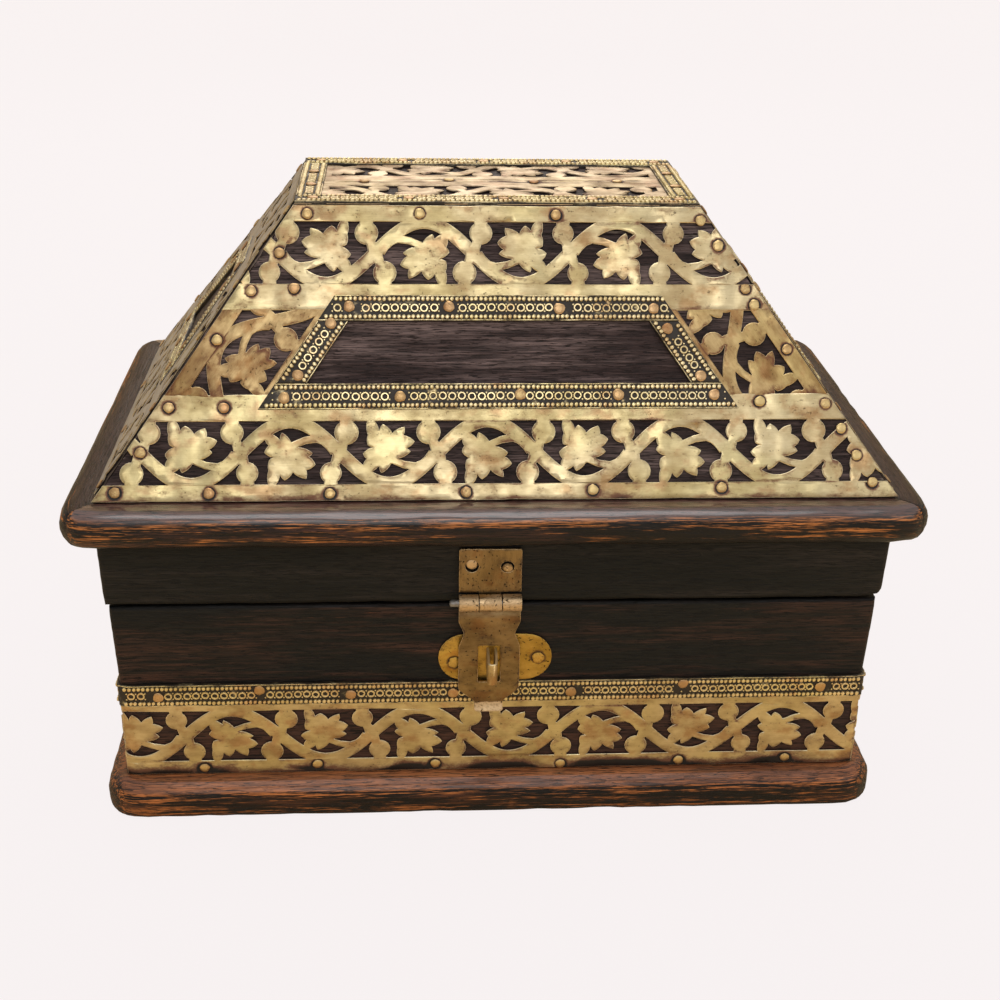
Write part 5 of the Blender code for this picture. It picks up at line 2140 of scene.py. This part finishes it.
@dataclass
class Hasp:
    """The hasp on the front: a leaf on the lid, a slotted flap on a pin, and a staple on a plate."""

    radius: float = 2.9
    width: float = 20.6
    leaf_height: float = 19.0
    knuckle: float = 7.7
    gap: float = 0.4
    thickness: float = 1.2
    roll: float = 285.0
    clear: float = 3.05

    def build(self) -> None:
        """Makes all pieces of the hasp."""
        self.axis = joint_axis("hasp_hinge")
        self.build_leaf()
        self.build_flap()
        build_pin("hasp_pin", "lid", 1.25)
        self.build_plate()
        self.build_staple()

    def build_leaf(self) -> None:
        """Makes the leaf on the lid, with the middle knuckle, and nails that sit loosely in its two holes."""
        wrap = -math.radians(self.roll) * self.radius
        half, inner = self.width / 2, self.knuckle / 2 - self.gap / 2
        clear, top = self.clear, self.leaf_height
        knuckle = [(-inner, clear), (-inner, wrap), (inner, wrap), (inner, clear)]
        end = [(half, top - 0.5), (half - 0.5, top), (-half + 0.5, top), (-half, top - 0.5)]
        outline = [(-half, clear), *knuckle, (half, clear), *end]
        lay = RolledLeaf(self.axis.x, self.axis.y, self.axis.z, self.radius, -1.0, 1.0)
        holes = [disc((-6.1, 12.8), 2.3, 16), disc((5.6, 12.4), 2.3, 16, 0.92)]
        sheet = Sheet(
            hand_cut(outline, 1.2, 0.15, 2.0), holes=holes, back=0.0, thickness=self.thickness, spacing=1.1,
            dents=0.12, chamfer=0.22, seed=0.4, spin=math.pi / 2, back_grime=0.15, polish=(-0.6, 1000.0),
        )
        sheet.laid(lay.place).build("hasp_leaf_rolled", "lid", HASP_BRASS, Stock.HASP, ["hasp_leaf"], 45.0)
        rows = [([(-6.1, 13.2), (5.6, 11.7)], 1.85, 0.35)]
        Nails("hasp_nails", "lid", lay.place, rows, HASP_BRASS, Stock.HASP).build()

    def build_flap(self) -> None:
        """Makes the flap, with the two outer knuckles, its slot and its lip."""
        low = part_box("hasp_flap")[0]
        radius = self.radius
        wrap = -math.radians(self.roll) * radius
        half, inner = self.width / 2, self.knuckle / 2 + self.gap / 2
        end = self.axis.z - low.z / MM
        right = [(inner, self.clear), (inner, wrap), (half, wrap), (half, 7.7), (8.65, 11.6), (8.65, 12.6)]
        right += [(9.9, 16.0), (half, 17.2), (half, 33.2), (9.8, 34.4), (5.6, 37.7), (4.85, 38.8)]
        right += [(4.85, end - 0.5), (4.3, end)]
        outline = hand_cut(right + [(-u, v) for u, v in reversed(right)], 1.2, 0.18, 6.0)
        slot = hand_cut(smooth_holes(7.6, 16.7, 30.9, 0.5), 1.5, 0.12, 2.0)
        lay = RolledLeaf(
            self.axis.x, self.axis.y, self.axis.z, radius, -1.0, -1.0, (2.4, 6.2, 1.3), (end - 4.0, 0.1)
        )
        sheet = Sheet(
            outline, holes=[slot], back=0.0, thickness=self.thickness, spacing=1.1, dents=0.14, chamfer=0.25,
            seed=0.6, back_grime=0.15, polish=(-0.6, end - 2.8),
        )
        piece = sheet.laid(lay.place)
        piece.build("hasp_flap_rolled", "hasp_flap", HASP_BRASS, Stock.HASP, ["hasp_flap"], 45.0)

    def build_plate(self) -> None:
        """Makes the round-ended plate behind the staple, and its nails."""
        low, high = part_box("staple_plate")
        middle = (low + high) / 2 / MM
        half, reach = (high.z - low.z) / 2 / MM, (high.x - low.x) / 2 / MM
        outline: Outline = []
        for way, start in ((1, -90), (-1, 90)):
            for step in range(13):
                angle = math.radians(start + 15 * step)
                outline.append((way * (reach - half) + half * math.cos(angle), half * math.sin(angle)))
        facet = Facet(Vector((middle.x, high.y / MM, middle.z)) * MM, RIGHT, UP)
        thick = (high.y - low.y) / MM
        spots = [(-13.8, -1.8), (14.6, -0.4)]
        sheet = Sheet(
            hand_cut(outline, 1.4, 0.2, 8.0), nails=spots, back=-0.2, thickness=thick + 0.2, spacing=1.5,
            dents=0.12, chamfer=0.2, seed=0.8,
        )
        piece = sheet.laid(facet.place)
        piece.build("staple_plate_cut", "box", PLATE_BRASS, Stock.PLATE, ["staple_plate"], 45.0)
        rows = [(spots, 2.1, thick - 0.1)]
        Nails("staple_nails", "box", facet.place, rows, PLATE_BRASS, Stock.HASP).build()

    def build_staple(self) -> None:
        """Makes the staple: a strip bent to a narrow loop, a little askew, with its ends in the wood."""
        low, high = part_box("staple")
        foot, front = high.y / MM, low.y / MM
        middle = (low + high) / 2 / MM
        tall, strip, corner = (high.z - low.z) / MM, 0.95, 0.42
        bend = (high.x - low.x) / 2 / MM - strip / 2
        turn = front + strip / 2 + bend
        stops = (0.0, 0.25, 0.5, 0.7, 0.85, 0.95)
        leg = turn - foot
        path = [(-bend + 0.1 * math.sin(3 * share), foot + leg * share) for share in stops]
        path += [(-bend * math.cos(a), turn - bend * math.sin(a)) for a in np.linspace(0.0, math.pi, 9)]
        path += [(bend + 0.3 * math.sin(3.1 * share), foot + leg * share) for share in reversed(stops)]
        line = np.array(path)
        way = np.gradient(line, axis=0)
        square = np.stack([-way[:, 1], way[:, 0]], axis=1) / np.linalg.norm(way, axis=1)[:, None]
        profile = []
        for rise, w, start in ((1, 1, 0), (-1, 1, 90), (-1, -1, 180), (1, -1, 270)):
            for step in range(3):
                angle = math.radians(start + 45 * step)
                across = w * (strip / 2 - corner) + corner * math.sin(angle)
                profile.append((rise * (tall / 2 - corner) + corner * math.cos(angle), across))
        points = []
        count = len(profile)
        for step, (spot, out) in enumerate(zip(line, square, strict=True)):
            for rise, w in profile:
                uneven = 0.1 * noise.noise((step / 2.0, rise, w))
                x = middle.x + 0.7 + spot[0] + out[0] * w
                points.append((x, spot[1] + out[1] * w, middle.z + rise + uneven))
        faces = ring_faces(len(line), count)
        faces.append(tuple(range(count)))
        faces.append(tuple(range(len(points) - 1, len(points) - count - 1, -1)))
        flat = np.array(points)
        shape = Shape()
        # Painted highlight: the top edges are marked fully rubbed so that they take the bright polish colour.
        painted_top_highlight = np.where(flat[:, 2] > middle.z + tall / 2 - 0.4, 1.0, 0.1)
        shape.add(flat * MM, faces, flat[:, [1, 0, 2]], painted_top_highlight, np.full(len(flat), 0.1))
        piece = shape.build("staple_bent", "box", STAPLE_BRASS, Stock.HASP, ["staple"], 50.0)
        mend = bmesh.new()
        mend.from_mesh(piece.data)
        bmesh.ops.recalc_face_normals(mend, faces=mend.faces)
        mend.to_mesh(piece.data)
        mend.free()


@dataclass
class BackHinge:
    """One of the two hinges at the back, with rolled knuckles and nailed leaves."""

    name: str
    radius: float = 2.4
    thickness: float = 1.3
    roll: float = 285.0
    gap: float = 0.25
    knuckle: float = 12.4
    clear: float = 2.9

    LEAVES = (("box_leaf", "box", -1.0, -1.1), ("lid_leaf", "lid", 1.0, -0.15))

    def build(self) -> None:
        """Makes both leaves, the pin and the nails."""
        axis = joint_axis("lid_hinge")
        for leaf, body, direction, shift in self.LEAVES:
            node = f"hinge_{self.name}_{leaf}"
            low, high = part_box(node)
            centre, half = (low.x + high.x) / 2 / MM, (high.x - low.x) / 2 / MM
            reach = (axis.z - low.z / MM) if direction < 0 else (high.z / MM - axis.z)
            lay = RolledLeaf(centre, axis.y, axis.z, self.radius, 1.0, direction, (2.2, 5.0, shift))
            wrap = -math.radians(self.roll) * self.radius
            spots = [(-half * 0.62, reach * 0.5), (half * 0.62, reach * 0.48), (0.0, reach * 0.78)]
            sheet = Sheet(
                hand_cut(self.outline(direction, half, wrap, reach), 1.4, 0.15, direction), nails=spots,
                back=0.0, thickness=self.thickness, spacing=1.5, dents=0.1, chamfer=0.22,
                seed=0.5 + direction / 4, back_grime=0.2, polish=(-0.6, 1000.0),
            )
            sheet.laid(lay.place).build(node + "_rolled", body, HASP_BRASS, Stock.HASP, [node], 45.0)
            name = f"hinge_{self.name}_{body}_nails"
            rows = [(spots, 2.1, self.thickness - 0.1)]
            Nails(name, body, lay.place, rows, stock=Stock.HASP).build()
        build_pin(f"hinge_{self.name}_pin", "box", 1.0)

    def outline(self, direction: float, half: float, wrap: float, reach: float) -> Outline:
        """A leaf's outline: the lid's has the middle knuckle, and the box's the two outer ones.

        Args:
            direction: 1 for the lid's leaf and -1 for the box's.
            half: Half its width.
            wrap: Length of its roll, as a negative height.
            reach: Its length.

        Returns:
            The outline.
        """
        end = [(half, reach - 3.0), (half - 0.9, reach - 0.9), (half - 3.0, reach)]
        end += [(-u, v) for u, v in reversed(end)]
        inner = self.knuckle / 2 - direction * self.gap
        side, mid = (self.clear, wrap) if direction > 0 else (wrap, self.clear)
        return [(-half, side), (-inner, side), (-inner, mid), (inner, mid), (inner, side), (half, side), *end]


@dataclass
class Studio:
    """Pale floor, soft light and the photograph's camera."""

    eye: Vector = field(default_factory=lambda: Vector((-0.02979, -0.50623, 0.32164)))
    pitch: float = 25.190
    yaw: float = 3.910
    roll: float = 1.260
    lens: float = 53.382

    LIGHTS = (
        ("key", (-0.03, -1.25, 0.95), 0.6, 2.5),
        ("fill", (0.9, -0.9, 0.7), 0.8, 1.3),
        ("above", (0.0, -0.1, 1.5), 1.0, 5.6),
        ("back", (0.05, 1.3, 0.75), 0.75, 2.7),
    )
    ROOM_LIGHT = (0.6, 0.582, 0.579, 1.0)
    ROOM_SEEN = (0.93, 0.88, 0.88, 1.0)
    FLOOR_SEEN = ((0.012, 0.0115, 0.0115, 1.0), (0.014, 0.0135, 0.0135, 1.0))
    FLOOR_BOUNCE = (0.95, 0.72, 0.42, 1.0)
    FLOOR_GLOW = (0.905, 0.857, 0.857, 1.0)

    def build(self) -> None:
        """Makes the camera, the lights and the floor."""
        self.add_camera()
        self.add_floor()
        for light in self.LIGHTS:
            self.add_light(*light)
        world = bpy.data.worlds.new("studio")
        world.use_nodes = True
        graph = Graph(world.node_tree)
        seen = graph.node("ShaderNodeLightPath").outputs["Is Camera Ray"]
        colour = graph.blend(seen, self.ROOM_LIGHT, self.ROOM_SEEN)
        graph.feed(world.node_tree.nodes["Background"], {"Color": colour})
        bpy.context.scene.world = world
        bpy.context.scene.view_settings.view_transform = "Standard"

    def add_camera(self) -> None:
        """Makes the camera at the photograph's viewing angle."""
        pitch, yaw, roll = (math.radians(angle) for angle in (self.pitch, self.yaw, self.roll))
        ahead = Vector((math.sin(yaw) * math.cos(pitch), math.cos(yaw) * math.cos(pitch), -math.sin(pitch)))
        right = Vector((math.cos(yaw), -math.sin(yaw), 0.0))
        up = right.cross(ahead)
        across = right * math.cos(roll) + up * math.sin(roll)
        rise = up * math.cos(roll) - right * math.sin(roll)
        data = bpy.data.cameras.new("camera")
        data.sensor_fit = "HORIZONTAL"
        data.sensor_width = 36.0
        data.lens = self.lens
        data.clip_start = 0.01
        camera = bpy.data.objects.new("camera", data)
        turn = Matrix((across, rise, -ahead)).transposed().to_4x4()
        camera.matrix_world = Matrix.Translation(self.eye) @ turn
        bpy.context.scene.collection.objects.link(camera)
        bpy.context.scene.camera = camera

    def add_light(self, name: str, spot: Sequence[float], size: float, power: float) -> None:
        """Makes a soft light that faces the box.

        Args:
            name: Its name.
            spot: Where it is.
            size: Its size, in metres.
            power: Its power, in watts.
        """
        data = bpy.data.lights.new(name, "AREA")
        data.shape = "DISK"
        data.size = size
        data.energy = power
        lamp = bpy.data.objects.new(name, data)
        lamp.location = spot
        lamp.rotation_mode = "QUATERNION"
        lamp.rotation_quaternion = (Vector((0.0, 0.0, 0.1)) - Vector(spot)).to_track_quat("-Z", "Y")
        bpy.context.scene.collection.objects.link(lamp)

    def add_floor(self) -> None:
        """Makes a pale floor that curves up into a backdrop."""
        mesh = bmesh.new()
        rows = [(-3.0, 0.0), (2.4, 0.0)]
        rows += [(2.4 + 0.8 * math.sin(a), 0.8 - 0.8 * math.cos(a)) for a in np.linspace(0.2, math.pi / 2, 8)]
        rows.append((3.2, 3.0))
        lines = [[mesh.verts.new((x, y, z - 0.0002)) for x in np.linspace(-3, 3, 7)] for y, z in rows]
        for first, second in zip(lines, lines[1:], strict=False):
            for index in range(6):
                mesh.faces.new((first[index], first[index + 1], second[index + 1], second[index]))
        data = bpy.data.meshes.new("floor")
        mesh.to_mesh(data)
        mesh.free()
        data.shade_smooth()
        material = bpy.data.materials.new("pale_floor")
        material.use_nodes = True
        graph = Graph(material.node_tree)
        shader = material.node_tree.nodes["Principled BSDF"]
        spots = graph.noise(graph.node("ShaderNodeTexCoord").outputs["Object"], (6.0, 6.0, 6.0), 3.0)
        colour = graph.blend(spots, *self.FLOOR_SEEN)
        seen = graph.node("ShaderNodeLightPath").outputs["Is Camera Ray"]
        colour = graph.blend(seen, self.FLOOR_BOUNCE, colour)
        glow = {"Emission Strength": seen, "Emission Color": self.FLOOR_GLOW}
        graph.feed(shader, {"Base Color": colour, "Roughness": 0.9, **glow})
        data.materials.append(material)
        floor = bpy.data.objects.new("floor", data)
        bpy.context.scene.collection.objects.link(floor)


def main() -> None:
    """Builds the dressed box and its studio."""
    logging.basicConfig(level=logging.INFO, format="%(name)s: %(message)s")
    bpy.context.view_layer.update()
    sizes = Measures.read()
    vine = Vine(strip=sizes.strip)
    Woodwork(sizes).build()
    for side in Side:
        BoxCladding(side, sizes, vine).build()
        SlopeCladding(side, sizes, vine).build()
    TopCladding(sizes, vine).build()
    Hasp().build()
    for name in ("left", "right"):
        BackHinge(name).build()
    Studio().build()


if __name__ == "__main__":
    main()
